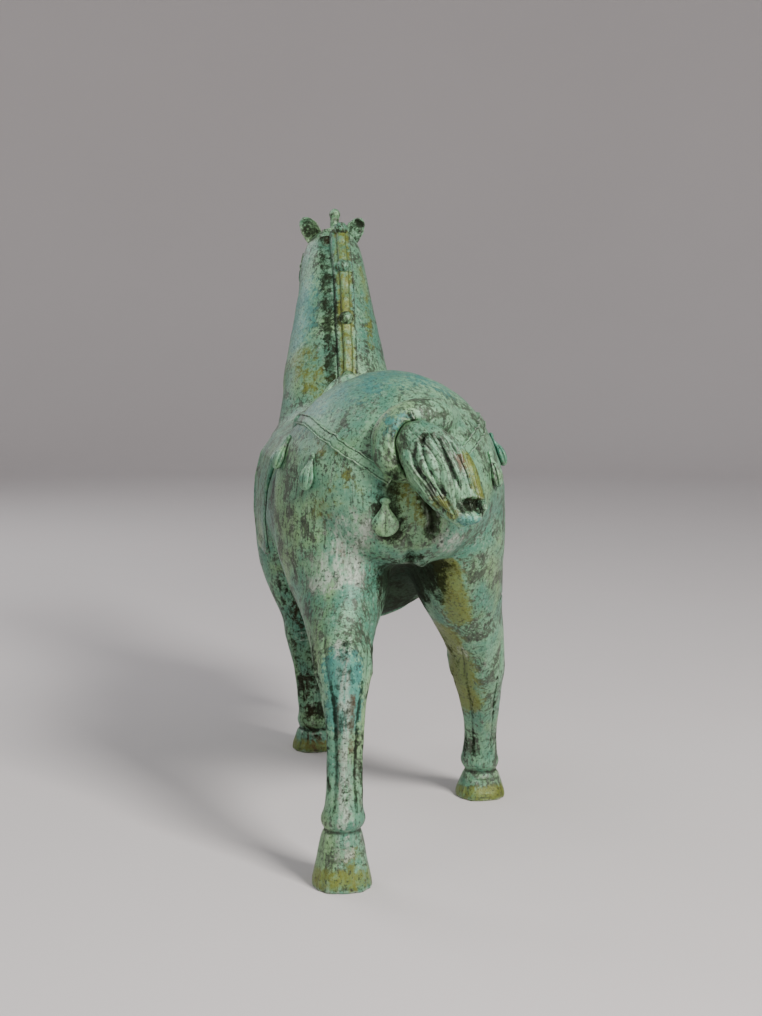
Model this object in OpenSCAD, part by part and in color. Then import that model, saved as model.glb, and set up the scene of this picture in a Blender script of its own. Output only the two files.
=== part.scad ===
// A standing horse in the Tang style, cast in bronze in hollow sections that are
// welded together, with its saddle and harness brazed on. The horse faces -Y, its
// left side is +X, it lifts its right forefoot, and its other three hooves stand on
// Z = 0. Places are given as "left" of the horse's middle, "ahead" of the widest part
// of its croup, and height.

/* [Body] */
// Half width of the croup
croup_half_w = 62; // [58:0.5:64]
// Height of the croup's top
croup_top = 254; // [252:0.5:256]
// Height of the lowest part of the belly
belly_z = 104; // [102:0.5:108]
// Half width of the barrel behind the saddle flaps
barrel_half_w = 50; // [48:0.5:52]
// Thickness of the cast wall
wall = 4; // [3:0.5:5]

/* [Legs] */
// Height at which the standing legs are cast apart from the body
leg_joint_z = 115; // [114:0.5:117]
// Height of the left hind hoof and of the lifted one
hoof_h = 28; // [26:0.5:29]
// Height of the other two hooves
low_hoof_h = 16.5; // [15:0.5:18]
// Half width of a hoof's sole
hoof_half_w = 15.5; // [14:0.5:16]

/* [Neck and mane] */
// Half width of the clipped mane
mane_half_w = 7.4; // [6.6:0.2:8]
// How far the mane stands out of the neck
mane_stand = 10; // [8:0.5:11]
// Radius of the tufts left on the mane
tuft_r = 4.6; // [4:0.2:5]

/* [Tail] */
// Radius of the bound part of the tail
tail_r = 10; // [9:0.25:10.5]

/* [Saddle and harness] */
// Width of the harness straps
strap_w = 8; // [6:0.5:9]
// Thickness of the harness straps
strap_t = 1.4; // [1:0.1:1.8]
// Thickness of the hanging saddle flaps
flap_t = 3.5; // [3:0.5:4]
// Length of a harness pendant
pendant_l = 20; // [18:1:22]

/* [Hidden] */

verdigris = [0.50, 0.70, 0.59];
teal = [0.33, 0.56, 0.52];
olive = [0.52, 0.56, 0.33];

// These place the statue so that its box is centred on the origin
croup_y = 117.5;
mid_x = 7.8;

body_n = 28;        // corners of a ring round the body
leg_n = 20;         // corners of a ring round a leg or the head
core_n = 16;        // corners of a ring round the hollow inside
trim_n = 12;        // corners of a ring round small trim
far = 400;          // longer than the statue, for cutting solids

thigh_z = 95;       // every leg stands clear of the belly below this height
head_left = -3;     // the head is turned a little to the right
lifted_tilt = 38;   // how far the raised hoof tips back

// ---------------------------------------------------------------- sections and lofts

// A point by its distance left of the middle, ahead of the croup, and height
function at(left, ahead, z) = [mid_x + left, croup_y - ahead, z];

// A section of a loft: its centre, its half width, and its reach to either side of that.
// On a limb that runs down the reaches are forward and back, along the trunk up and down,
// and up the neck or down the head they are to the crest or brow and to the throat.
function section(left, ahead, z, half_w, reach_a, reach_b) =
    concat(at(left, ahead, z), [half_w, reach_a, reach_b]);

function centre(s) = [s[0], s[1], s[2]];
function unit(v) = v / norm(v);

// Catmull-Rom curve through a list of sections or points, with n steps between two
function curve_at(a, b, c, d, t) =
    0.5 * (2 * b + (c - a) * t + (2 * a - 5 * b + 4 * c - d) * t * t
           + (3 * b - a - 3 * c + d) * t * t * t);
function smooth(list, n) = let (last = len(list) - 1)
    concat([for (i = [0:last - 1]) for (k = [0:n - 1])
                curve_at(list[max(i - 1, 0)], list[i], list[i + 1],
                         list[min(i + 2, last)], k / n)],
           [list[last]]);

function heading(list, i) = let (last = len(list) - 1)
    unit(centre(list[min(i + 1, last)]) - centre(list[max(i - 1, 0)]));

// A sine or cosine drawn out towards a box's corners where square is under 1
function squared(x, square) = sign(x) * pow(abs(x), square);

// One ring of corners: an oval whose two halves may reach differently far
function ring(s, along, side, grow, n, square) =
    let (u = unit(side - (side * along) * along), v = cross(along, u))
    [for (k = [0:n - 1]) let (t = 360 * k / n, reach = sin(t) > 0 ? s[4] : s[5])
        centre(s) + u * squared(cos(t), square) * max(s[3] + grow, 1)
                  + v * squared(sin(t), square) * max(reach + grow, 1)];

// A closed skin over the sections, which grow makes thicker all round and at both ends.
// side is the direction of the half width, and facing turns every ring one way where the
// rings don't follow the line of their centres.
module loft(sections, grow = 0, n = body_n, side = [1, 0, 0], cuts = 2, square = 1,
            facing = undef) {
    list = smooth(sections, cuts);
    rows = len(list);
    turned = [for (i = [0:rows - 1]) is_undef(facing) ? heading(list, i) : facing];
    pushed = [for (i = [0:rows - 1]) grow * turned[i] * (i == 0 ? -1 : i == rows - 1 ? 1 : 0)];
    rings = [for (i = [0:rows - 1])
        [for (c = ring(list[i], turned[i], side, grow, n, square)) c + pushed[i]]];
    ends = [centre(list[0]) + pushed[0], centre(list[rows - 1]) + pushed[rows - 1]];
    corners = concat([for (r = rings) each r], ends);
    walls = [for (i = [0:rows - 2]) for (k = [0:n - 1]) let (m = (k + 1) % n)
                each [[i * n + k, (i + 1) * n + k, (i + 1) * n + m],
                      [i * n + k, (i + 1) * n + m, i * n + m]]];
    near_end = [for (k = [0:n - 1]) [rows * n, k, (k + 1) % n]];
    far_end = [for (k = [0:n - 1])
                [rows * n + 1, (rows - 1) * n + (k + 1) % n, (rows - 1) * n + k]];
    polyhedron(corners, concat(walls, near_end, far_end), convexity = 6);
}

// The facets of the children, worked out as one closed skin
module cast() { resize([0, 0, 0]) children(); }

// A box between two corners given as [left, ahead, height]
module block(a, b) {
    p = at(a[0], a[1], a[2]);
    q = at(b[0], b[1], b[2]);
    lo = [min(p[0], q[0]), min(p[1], q[1]), min(p[2], q[2])];
    hi = [max(p[0], q[0]), max(p[1], q[1]), max(p[2], q[2])];
    translate(lo) cube(hi - lo);
}

// A straight slab through p and q, w wide, that stands on the surface between them
module slab(p, q, outward, w, depth = 40) {
    along = unit(q - p);
    across = unit(cross(outward, along));
    out = cross(along, across);
    half = norm(q - p) / 2;
    mid = (p + q) / 2;
    multmatrix([[along[0], across[0], out[0], mid[0]],
                [along[1], across[1], out[1], mid[1]],
                [along[2], across[2], out[2], mid[2]],
                [0, 0, 0, 1]])
        translate([-half, -w / 2, -depth / 2]) cube([2 * half, w, depth]);
}

// ---------------------------------------------------------------- the horse's form

// The trunk: ahead, half width, top, height where it is widest, underside
trunk_line = [
    [-49, 13, 212, 198, 180],
    [-45, 28, 223, 195, 166],
    [-35, 41, 235, 193, 157],
    [-22, 50, 244, 191, 154],
    [-4, 58, croup_top - 2.5, 189, 152],
    [18, croup_half_w, croup_top, 186, 147],
    [46, croup_half_w - 4, croup_top - 6, 178, 131],
    [78, barrel_half_w + 4, 235, 169, belly_z + 7],
    [112, barrel_half_w, 226, 165, belly_z],
    [145, barrel_half_w, 225, 166, belly_z + 2],
    [176, barrel_half_w + 3, 233, 170, belly_z + 8],
    [203, barrel_half_w + 2, 240, 174, belly_z + 17],
    [226, barrel_half_w - 6, 236, 176, belly_z + 29],
    [243, 33, 224, 179, 148],
    [253, 14, 205, 182, 162]];

function trunk_sections() =
    [for (s = trunk_line) section(0, s[0], s[3], s[1], s[2] - s[3], s[3] - s[4])];

hind_left_line = [
    section(30, 22, 205, 26, 34, 34),
    section(31, 14, 180, 31, 44, 48),
    section(31, 2, 158, 29.5, 42, 40),
    section(29.5, -10, 142, 25.5, 34, 31),
    section(31.5, -22, 130, 20.5, 26, 24),
    section(33.5, -36, 116, 16, 18, 20),
    section(34, -47, 103, 14, 14, 18),
    section(34.5, -53, 91, 11, 12, 14),
    section(35, -57, 76, 9.3, 10.5, 11),
    section(35.5, -59, 58, 8.8, 10, 10),
    section(36, -61, 44, 9.3, 10.3, 11),
    section(36.5, -62, 35, 10.3, 11, 12.5),
    section(37, -61, 29, 9.8, 10, 11)];

hind_right_line = [
    section(-30, 22, 205, 26, 34, 34),
    section(-33, 20, 180, 29.5, 42, 46),
    section(-37, 24, 156, 27, 38, 38),
    section(-42, 31, 136, 24.5, 31, 32),
    section(-49, 38, 116, 19.5, 24, 26),
    section(-54.5, 45, 100, 16.7, 18, 22),
    section(-57, 49, 84, 15.5, 14.5, 18),
    section(-59.5, 55, 69, 12.7, 12, 13.5),
    section(-62, 62, 54, 10.3, 10.5, 11),
    section(-63.5, 69, 42, 9.4, 10.3, 10.8),
    section(-64.7, 74, 30, 10, 10.8, 11.6),
    section(-65.3, 76.5, 23, 10.6, 11.4, 12.4),
    section(-65.5, 77, 18, 10, 10.6, 11.4)];

front_left_line = [
    section(31, 216, 182, 23, 30, 40),
    section(34, 208, 152, 22.5, 28, 30),
    section(35.5, 203, 128, 19, 21, 23),
    section(31.5, 200, 106, 15, 15, 17),
    section(28.5, 199, 90, 11.5, 12.5, 13),
    section(26.5, 199, 78, 11.8, 13, 11.5),
    section(25, 199, 66, 10, 11, 10.5),
    section(23, 198, 52, 8.8, 9, 9.5),
    section(21.5, 198, 41, 9, 9.6, 10.4),
    section(20, 198.5, 28, 9.6, 10.2, 11.2),
    section(19.3, 199, 21, 10.2, 10.8, 12),
    section(19, 199.5, 16, 9.6, 10, 10.8)];

front_right_upper_line = [
    section(-32, 212, 186, 24, 32, 38),
    section(-33, 214, 160, 22, 28, 32),
    section(-31, 224, 143, 17.5, 20, 23),
    section(-26, 238, 137, 14, 15, 16),
    section(-21, 252, 137, 12, 13, 13),
    section(-18, 263, 139, 11, 11.5, 11.5),
    section(-17.5, 269, 139, 8, 8, 8)];

front_right_lower_line = [
    section(-18, 263, 143, 10, 9, 9),
    section(-17.5, 264, 132, 11, 11, 10.5),
    section(-16, 257, 119, 9.2, 9, 9.2),
    section(-13.5, 247, 107, 8.8, 9, 9.5),
    section(-12, 239, 98, 9.8, 10, 11),
    section(-11, 234, 93, 9.4, 9.4, 10)];

neck_line = [
    section(0, 198, 198, 44, 28, 50),
    section(0, 212, 226, 38.5, 31, 42),
    section(0, 223, 250, 34, 31, 37),
    section(-1, 234, 275, 29, 29, 33),
    section(-1.5, 245, 300, 24.5, 27, 29),
    section(-2, 254, 320, 21.5, 24, 26),
    section(-3, 260, 333, 18, 19, 21)];

head_line = [
    section(head_left, 253, 342, 10, 6, 9),
    section(head_left, 258, 336, 17, 11, 18),
    section(head_left, 268, 324, 20, 15, 27),
    section(head_left, 277, 309, 19.5, 15.5, 28),
    section(head_left, 286, 293, 16.5, 13.5, 21),
    section(head_left, 294, 278, 13.5, 12, 15.5),
    section(head_left, 300, 264, 13.5, 12, 14.5),
    section(head_left, 304, 254, 13.5, 11.5, 13),
    section(head_left, 307, 246, 9.5, 8, 9)];

module trunk_form(grow = 0) { loft(trunk_sections(), grow, facing = [0, -1, 0]); }

// A sheet t thick that lies on the trunk, between two of its rings and two of its corners
trunk_rows = smooth(trunk_sections(), 2);
module trunk_wrap(rows, corners, t) {
    m = len(corners);
    function skin(grow) = [for (i = rows)
        let (r = ring(trunk_rows[i], [0, -1, 0], [1, 0, 0], grow, body_n, 1))
        each [for (k = corners) r[k % body_n]]];
    h = len(rows) * m;
    function grid(w, a, b) = [for (i = [0:len(rows) - 2]) for (k = [0:m - 2])
        let (q = i * m + k + w)
        each [[q, q + a, q + m + 1], [q, q + m + 1, q + b]]];
    function edge(q, r) = [[q, q + h, r + h], [q, r + h, r]];
    polyhedron(concat(skin(0), skin(t)),
        concat(grid(0, 1, m), grid(h, m, 1),
               [for (i = [0:len(rows) - 2]) each edge(i * m + m, i * m)],
               [for (i = [0:len(rows) - 2]) each edge(i * m + m - 1, i * m + 2 * m - 1)],
               [for (k = [0:m - 2]) each edge(k, k + 1)],
               [for (k = [0:m - 2]) each edge(h - m + k + 1, h - m + k)]),
        convexity = 4);
}
module neck_form(grow = 0) { loft(neck_line, grow); }
module head_form(grow = 0) { loft(head_line, grow, leg_n); }
limb_lines = [hind_left_line, hind_right_line, front_left_line,
              front_right_upper_line, front_right_lower_line];
module limb_forms(grow = 0) { for (line = limb_lines) loft(line, grow, leg_n); }

// The body that the saddle and harness lie on
module body_form(grow = 0) {
    trunk_form(grow);
    neck_form(grow);
    limb_forms(grow);
}

// The hollow inside the castings
module hollow() {
    difference() {
        union() {
            loft(trunk_sections(), -wall, core_n, cuts = 1, facing = [0, -1, 0]);
            loft(neck_line, -wall, core_n, cuts = 1);
            for (line = limb_lines) loft(line, -wall, core_n, cuts = 1);
        }
        block([-far, -far, -1], [far, far, leg_joint_z + wall]);
    }
}

// Where the neck and the head are cast apart: a slope facing up along the neck
neck_cut = at(0, 222, 246);
head_cut = at(0, 262, 322);
module above(cut, lean) {
    translate(cut) rotate([lean, 0, 0]) translate([-far, -far, 0]) cube([2 * far, 2 * far, far]);
}
module above_neck_cut() { above(neck_cut, 26); }
module above_head_cut() { above(head_cut, 62); }

// The space each separately cast leg fills: wide round the foot, close round the
// thigh beside the belly
module hind_left_space() block([8, -110, -1], [90, 24, leg_joint_z]);
module hind_right_space() {
    block([-24, 0, -1], [-100, 110, thigh_z]);
    block([-28, 0, thigh_z - 5], [-100, 66, leg_joint_z]);
}
module front_left_space() {
    block([2, 150, -1], [80, 225, thigh_z]);
    block([14, 180, thigh_z - 5], [80, 225, leg_joint_z]);
}
module front_right_space() {
    intersection() {
        block([-5, 200, 50], [-80, 300, 152]);
        translate(at(0, 236, 137)) rotate([68, 0, 0]) translate([-far, -far, 0]) cube(2 * far);
    }
    block([2, 222, 50], [-80, 300, 120]);
}

// ---------------------------------------------------------------- castings

module torso_shell() {
    color(verdigris) cast() difference() {
        body_form();
        hollow();
        above_neck_cut();
        hind_left_space();
        hind_right_space();
        front_left_space();
        front_right_space();
    }
}

module neck_shell() {
    color(verdigris) cast() difference() {
        intersection() {
            body_form();
            above_neck_cut();
        }
        hollow();
        above_head_cut();
    }
}

module eye(side) {
    translate(at(head_left + side * 16, 277, 315)) sphere(r = 5, $fn = trim_n);
}

module head_casting() {
    color(verdigris) cast() intersection() {
        union() {
            head_form();
            neck_form();
            eye(1);
            eye(-1);
        }
        above_head_cut();
    }
}

// A leaf-shaped ear that leans outward
module ear(side) {
    color(teal) cast() difference() {
        loft([section(head_left + side * 9, 262, 332, 4, 4, 4),
              section(head_left + side * 11.5, 262, 338, 6.2, 4.5, 4.5),
              section(head_left + side * 15, 262, 345, 6.6, 3.6, 3.6),
              section(head_left + side * 18.5, 263, 351, 4.2, 2.4, 2.4),
              section(head_left + side * 20, 263, 354, 1, 1, 1)], n = trim_n);
        head_form();
        neck_form();
    }
}
module ear_left() { ear(1); }
module ear_right() { ear(-1); }

// The clipped mane stands along the crest, from the withers to the poll
mane_line = [
    section(-2, 184, 217, 4, 4, 4),
    section(-2, 188, 236, 6.5, mane_stand * 0.8, 9),
    section(-3, 196, 258, mane_half_w, mane_stand, 9),
    section(-3.5, 209, 284, mane_half_w, mane_stand, 9),
    section(-4.5, 222, 308, mane_half_w, mane_stand, 9),
    section(-4.5, 234, 328, mane_half_w - 1, mane_stand, 9),
    section(-5, 243, 339, 5, mane_stand * 0.8, 8),
    section(-5, 249, 344, 3.8, 4, 6)];
module mane_form() { loft(mane_line, 0, trim_n, square = 0.7); }

module mane_crest() {
    color(olive) cast() difference() {
        mane_form();
        neck_form();
        head_form();
        trunk_form();
    }
}

// The tufts stand on the mane at even steps
tuft_places = [1.6, 2.7, 3.8, 5.1];
function mane_point(t) =
    let (i = floor(t), a = mane_line[i], b = mane_line[i + 1], m = a + (b - a) * (t - i))
    centre(m) + unit(cross(unit(centre(b) - centre(a)), [1, 0, 0])) * m[4];
module mane_tufts() {
    color(teal) cast() difference() {
        for (t = tuft_places) translate(mane_point(t)) sphere(r = tuft_r, $fn = trim_n);
        mane_form();
    }
}

// Two bound locks that stand between the ears
module forelock_tufts() {
    color(teal) cast() difference() {
        for (lock = [[-5.5, 361, 4.2], [-10, 352, 3.6]])
            loft([section(lock[0], 266, 328, 4.5, 5, 5),
                  section(lock[0], 268, lock[1] - 10, 3.6, 4, 4),
                  section(lock[0], 268, lock[1] - 4, lock[2], 4.2, 4.2),
                  section(lock[0], 268, lock[1], 1.6, 1.6, 1.6)], n = trim_n);
        head_form();
    }
}

// The middle of each sole
hind_left_sole = at(37, -61, 0);
hind_right_sole = at(-65.6, 77, 0);
front_left_sole = at(18.6, 200, 0);
front_right_sole = at(-10.5, 222, 73);

// A hoof h high, wide at the sole, with its toe in front
module hoof(sole, h = hoof_h, tilt = 0) {
    translate(sole) rotate([tilt, 0, 0])
        loft([[0, 1, h + 3, 9, 9, 9],
              [0, 1, h - 2, 10.6, 11, 11],
              [0, 0, h * 0.6, 12.3, 13.5, 12.5],
              [0, 0, h * 0.3, hoof_half_w - 1.5, 17, 14],
              [0, 0, 0, hoof_half_w, 20, 15.5]], n = leg_n, cuts = 1);
}

// The limbs inside the space given by the children
module limb_in() {
    intersection() {
        limb_forms();
        union() children();
    }
}
module leg_hind_left() {
    color(verdigris) cast() {
        hoof(hind_left_sole);
        limb_in() hind_left_space();
    }
}
module leg_hind_right() {
    color(verdigris) cast() {
        hoof(hind_right_sole, low_hoof_h);
        limb_in() hind_right_space();
    }
}
module leg_front_left() {
    color(verdigris) cast() {
        hoof(front_left_sole, low_hoof_h);
        limb_in() front_left_space();
    }
}
module leg_front_right() {
    color(verdigris) cast() {
        hoof(front_right_sole, tilt = lifted_tilt);
        limb_in() front_right_space();
    }
}

// ---------------------------------------------------------------- tail

// The bound tail leaves the croup on the right and curls over to the left and down,
tail_upper_line = [
    section(-22, -20, 228, tail_r, tail_r, tail_r),
    section(-14, -38, 231, tail_r, tail_r, tail_r),
    section(-3, -46, 231, tail_r, tail_r, tail_r),
    section(6, -49, 228, tail_r, tail_r, tail_r),
    section(11, -50, 222, tail_r - 0.5, tail_r - 0.5, tail_r - 0.5),
    section(12.5, -50.5, 216, tail_r - 2, tail_r - 2, tail_r - 2),
    section(13, -51, 211, 4, 4, 4)];
// and then back under itself
tail_lower_line = [
    section(10, -50, 224, 6, 6, 6),
    section(12, -51, 217, tail_r - 1, tail_r - 1, tail_r - 1),
    section(8.5, -52, 211, tail_r, tail_r, tail_r),
    section(1, -53, 209, tail_r, tail_r, tail_r),
    section(-7, -55, 208.5, tail_r - 0.5, tail_r - 0.5, tail_r - 0.5),
    section(-12, -56, 208, 5, 5, 5)];
// The combed tuft at its end comes out in front and hangs over to the right
tuft_line = [
    section(3, -50, 225, 4, 4, 4),
    section(0, -57, 221.5, 12, 10.5, 10.5),
    section(-6, -62.5, 214, 16, 14, 13),
    section(-13, -66, 204, 16.8, 14.5, 13.5),
    section(-20, -67, 194, 15, 13, 12.5),
    section(-26.5, -67, 185, 10.5, 9.5, 9.5),
    section(-29, -67, 181.5, 7.5, 7.5, 7.5)];
module tail_form() {
    loft(tail_upper_line, 0, leg_n, side = [0, 1, 0]);
    loft(tail_lower_line, 0, leg_n, side = [0, 1, 0]);
}
module tuft_form() { loft(tuft_line, 0, leg_n); }

module tail_coil() {
    color(verdigris) cast() difference() {
        tail_form();
        body_form();
        tuft_form();
    }
}
module tail_tuft() {
    color(olive) cast() difference() {
        tuft_form();
        trunk_form();
    }
}

// ---------------------------------------------------------------- harness

// A strap that lies on the body, where the slab given by the children stands
module strap() {
    intersection() {
        difference() {
            body_form(strap_t);
            body_form();
        }
        children();
    }
}

// Where a strap starts at the dock, where it meets the next one on the hip, and where
// that one ends at the saddle
function dock_point(side) = at(side * 13, -41, 203);
function hip_point(side) = at(side * 50, 18, 229);
function saddle_point(side) = at(side * 44, 78, 214);

module crupper_slab(side) { slab(dock_point(side), hip_point(side), [side, 1, 0], strap_w); }
module hip_slab(side) { slab(hip_point(side), saddle_point(side), [side, 0, 0.8], strap_w); }
module crupper_strap(side) {
    color(verdigris) cast() difference() {
        strap() crupper_slab(side);
        tail_form();
    }
}
module hip_strap(side) {
    color(verdigris) cast() difference() {
        strap() hip_slab(side);
        crupper_slab(side);
    }
}
module crupper_strap_left() { crupper_strap(1); }
module crupper_strap_right() { crupper_strap(-1); }
module hip_strap_left() { hip_strap(1); }
module hip_strap_right() { hip_strap(-1); }

// A round boss covers each strap end on the hips and the shoulders
boss_r = 5;
function shoulder_point(side) = at(side * 45.5, 236, breast_z);
module boss(place) { translate(place) sphere(r = boss_r, $fn = trim_n); }
module strap_bosses() {
    color(olive) cast() difference() {
        for (side = [1, -1]) {
            boss(hip_point(side));
            boss(shoulder_point(side));
        }
        body_form(strap_t);
    }
}

// A ribbed drop that hangs against the body
module drop(left, ahead, z, lean = 0) {
    half = pendant_l / 2;
    translate(at(left, ahead, z)) rotate([0, lean, 0])
        loft([[0, 0, half, 1.5, 1.5, 1.5],
              [0, 0, half * 0.6, 2.6, 2.4, 2.4],
              [0, 0, -half * 0.1, 4.6, 4, 4],
              [0, 0, -half * 0.6, 5.2, 4, 4],
              [0, 0, -half, 1.5, 1.5, 1.5]], n = trim_n, cuts = 1);
}
module hip_pendants(side) {
    color(olive) cast() difference() {
        union() {
            drop(side * 59, 10, 212, -side * 14);
            drop(side * 49, -25, 204, -side * 20);
            drop(side * 57, 50, 209, -side * 14);
        }
        body_form();
    }
}
module hip_pendants_left() { hip_pendants(1); }
module hip_pendants_right() { hip_pendants(-1); }

module dock_pendant() {
    color(olive) cast() difference() {
        drop(13.5, -51, 182);
        body_form();
        tail_form();
    }
}

// The breast strap lies level round the chest, from one saddle flap to the other
breast_z = 186;
module breast_band() {
    intersection() {
        difference() {
            body_form(strap_t);
            body_form();
        }
        block([-far, 152, breast_z - strap_w / 2], [far, 300, breast_z + strap_w / 2]);
    }
}
module breast_strap() { color(verdigris) cast() breast_band(); }
module breast_pendants() {
    color(olive) cast() difference() {
        for (place = [[0, 257], [26, 249], [-26, 249], [49, 231], [-49, 231]])
            drop(place[0], place[1], breast_z - 14);
        body_form();
    }
}

// ---------------------------------------------------------------- saddle

// The pad lies on these rings of the trunk, between these of their corners
pad_rows = [for (i = [14:19]) i];
pad_corners = [for (k = [3:11]) k];
girth_rows = [15, 16];
girth_corners = [for (k = [11:body_n + 3]) k];
pad_t = 8;

module saddle_pad() { color(teal) trunk_wrap(pad_rows, pad_corners, pad_t); }

// The girth runs under the belly from one side of the pad to the other
module girth_strap() { color(verdigris) trunk_wrap(girth_rows, girth_corners, strap_t); }

// The pad and the back under it, which the saddle stands on
module saddle_base() {
    loft([for (i = pad_rows) trunk_rows[i]], pad_t, cuts = 1, facing = [0, -1, 0]);
}

module seat_form() {
    loft([section(0, 84, 234, 14, 4, 8),
          section(0, 88, 234, 22, 8, 10),
          section(0, 98, 232, 25, 6, 10),
          section(0, 115, 230, 23, 5, 10),
          section(0, 132, 231, 21, 7, 10),
          section(0, 144, 233, 17, 9, 10),
          section(0, 148, 233, 10, 5, 8)], 0, leg_n, square = 0.9);
}
module saddle_seat() {
    color(teal) cast() difference() {
        seat_form();
        saddle_base();
        cantle_bow();
        pommel_bow();
    }
}

// A bow of the saddle: an arched plate that stands on the pad and leans away from the seat
bow_t = 4.5;
bow_foot = 206;
module bow(ahead, half_w, top, lean) {
    r = top - bow_foot;
    translate(at(0, ahead, bow_foot)) rotate([90 + lean, 0, 0])
        linear_extrude(bow_t, center = true)
            intersection() {
                scale([half_w / r, 1]) circle(r = r, $fn = 48);
                translate([-far, 0]) square([2 * far, far]);
            }
}
module cantle_bow() { bow(86, 33, 250, -12); }
module pommel_bow() { bow(145, 27, 250, 10); }
module saddle_cantle() {
    color(verdigris) cast() difference() {
        cantle_bow();
        saddle_base();
    }
}
module saddle_pommel() {
    color(verdigris) cast() difference() {
        pommel_bow();
        saddle_base();
    }
}

// A flap hangs clear of the flank, bowed outward: its outer edge by left and height
flap_curve = [[38, 221], [49, 214], [57, 202], [61, 187], [61.7, 167], [60.5, 145]];
function flap_edge(out) = [for (i = [0:len(flap_curve) - 1])
    let (last = len(flap_curve) - 1,
         d = flap_curve[min(i + 1, last)] - flap_curve[max(i - 1, 0)],
         n = [-d[1], d[0]] / norm(d))
    flap_curve[i] + n * out];
flap_rear = 80;
flap_front = 152;
flap_corner = 16;
module flap_side_view() {
    low = flap_curve[len(flap_curve) - 1][1];
    hull() {
        for (ahead = [flap_rear + flap_corner, flap_front - flap_corner])
            translate([-ahead, low + flap_corner]) circle(r = flap_corner, $fn = 24);
        translate([-flap_front, 229]) square([flap_front - flap_rear, 1]);
    }
}
module flap(side) {
    last = len(flap_curve) - 1;
    outline = concat(flap_edge(0), [for (i = [last:-1:0]) flap_edge(-flap_t)[i]]);
    cast() difference() {
        intersection() {
            translate(at(0, flap_rear, 0)) rotate([90, 0, 0]) linear_extrude(flap_front - flap_rear)
                polygon([for (p = outline) [side * p[0], p[1]]]);
            translate(at(0, 0, 0)) rotate([90, 0, 90]) linear_extrude(2 * far, center = true)
                flap_side_view();
        }
        saddle_base();
    }
}
module saddle_flap_left() { color(verdigris) flap(1); }
module saddle_flap_right() { color(verdigris) flap(-1); }

// ---------------------------------------------------------------- bridle

// The bridle lies on the head: a noseband, a browband and a cheek strap on each side
bridle_t = 1.2;
module head_band(p, lean, w = 4) {
    intersection() {
        difference() {
            head_form(bridle_t);
            head_form();
        }
        translate(p) rotate([lean, 0, 0]) cube([far, far, w], center = true);
    }
}
module headstall() {
    color(teal) cast() difference() {
        union() {
            head_band(at(0, 291, 275), 62);
            intersection() {
                head_band(at(0, 268, 322), 62);
                above_head_cut();
            }
            for (side = [1, -1]) intersection() {
                difference() {
                    head_form(bridle_t);
                    head_form();
                }
                slab(at(head_left + side * 18, 266, 322), at(head_left + side * 13, 289, 275),
                     [side, 0, 0], 4, 24);
            }
        }
        neck_form();
    }
}
module rosette_spots(r) {
    for (side = [1, -1]) {
        translate(at(head_left + side * 20, 267, 321)) sphere(r = r, $fn = trim_n);
        translate(at(head_left + side * 13.5, 288, 275)) sphere(r = r * 0.7, $fn = trim_n);
    }
}
module bridle_rosettes() {
    color(olive) cast() difference() {
        rosette_spots(4.2);
        head_form(bridle_t);
        neck_form();
    }
}
module bit_cheekpieces() {
    color(teal) cast() difference() {
        for (side = [1, -1])
            loft([section(head_left + side * 14, 281, 262, 1.5, 1.5, 1.5),
                  section(head_left + side * 14.6, 288, 263.5, 1.9, 1.9, 1.9),
                  section(head_left + side * 14.6, 295, 262, 1.9, 1.9, 1.9),
                  section(head_left + side * 14, 301, 256, 1.5, 1.5, 1.5)], n = trim_n, cuts = 1,
                 side = [0, 0, 1]);
        head_form();
    }
}

torso_shell();
neck_shell();
head_casting();
ear_left();
ear_right();
mane_crest();
mane_tufts();
forelock_tufts();
leg_hind_left();
leg_hind_right();
leg_front_left();
leg_front_right();
tail_coil();
tail_tuft();
dock_pendant();
saddle_pad();
saddle_seat();
saddle_pommel();
saddle_cantle();
saddle_flap_left();
saddle_flap_right();
girth_strap();
breast_strap();
crupper_strap_left();
crupper_strap_right();
hip_strap_left();
hip_strap_right();
strap_bosses();
hip_pendants_left();
hip_pendants_right();
breast_pendants();
headstall();
bridle_rosettes();
bit_cheekpieces();
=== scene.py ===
"""The looks of a bronze horse in the Tang style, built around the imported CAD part.

The castings are taken from the CAD nodes as one closed skin, softened, and modelled with
strokes that raise or groove it. Then it is cut back into the cast sections. The mane,
tail, harness and saddle are meshes that are laid on that skin.
"""
import math

import bmesh
import bpy
import numpy as np
import openvdb
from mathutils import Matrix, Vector
from mathutils.bvhtree import BVHTree


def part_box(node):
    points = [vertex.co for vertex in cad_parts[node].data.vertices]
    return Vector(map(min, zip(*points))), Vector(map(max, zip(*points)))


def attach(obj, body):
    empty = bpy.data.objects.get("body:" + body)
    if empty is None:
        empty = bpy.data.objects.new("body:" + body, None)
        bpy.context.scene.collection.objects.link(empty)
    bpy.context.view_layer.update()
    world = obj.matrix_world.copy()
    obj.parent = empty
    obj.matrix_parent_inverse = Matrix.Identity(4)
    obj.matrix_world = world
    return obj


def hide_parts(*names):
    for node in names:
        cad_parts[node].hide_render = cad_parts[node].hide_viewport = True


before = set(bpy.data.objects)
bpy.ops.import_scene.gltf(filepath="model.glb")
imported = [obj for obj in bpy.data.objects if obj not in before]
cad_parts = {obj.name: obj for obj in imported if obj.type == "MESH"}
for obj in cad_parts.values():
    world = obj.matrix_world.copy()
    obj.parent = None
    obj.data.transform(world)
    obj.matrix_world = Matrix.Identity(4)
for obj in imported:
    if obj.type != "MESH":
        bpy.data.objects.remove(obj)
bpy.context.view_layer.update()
MM = 0.001

# ------------------------------------------------------------------ places on the CAD part


def box_mm(node):
    """The lowest and highest corner of a CAD node, in mm."""
    low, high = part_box(node)
    return np.array(low) / MM, np.array(high) / MM


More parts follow.
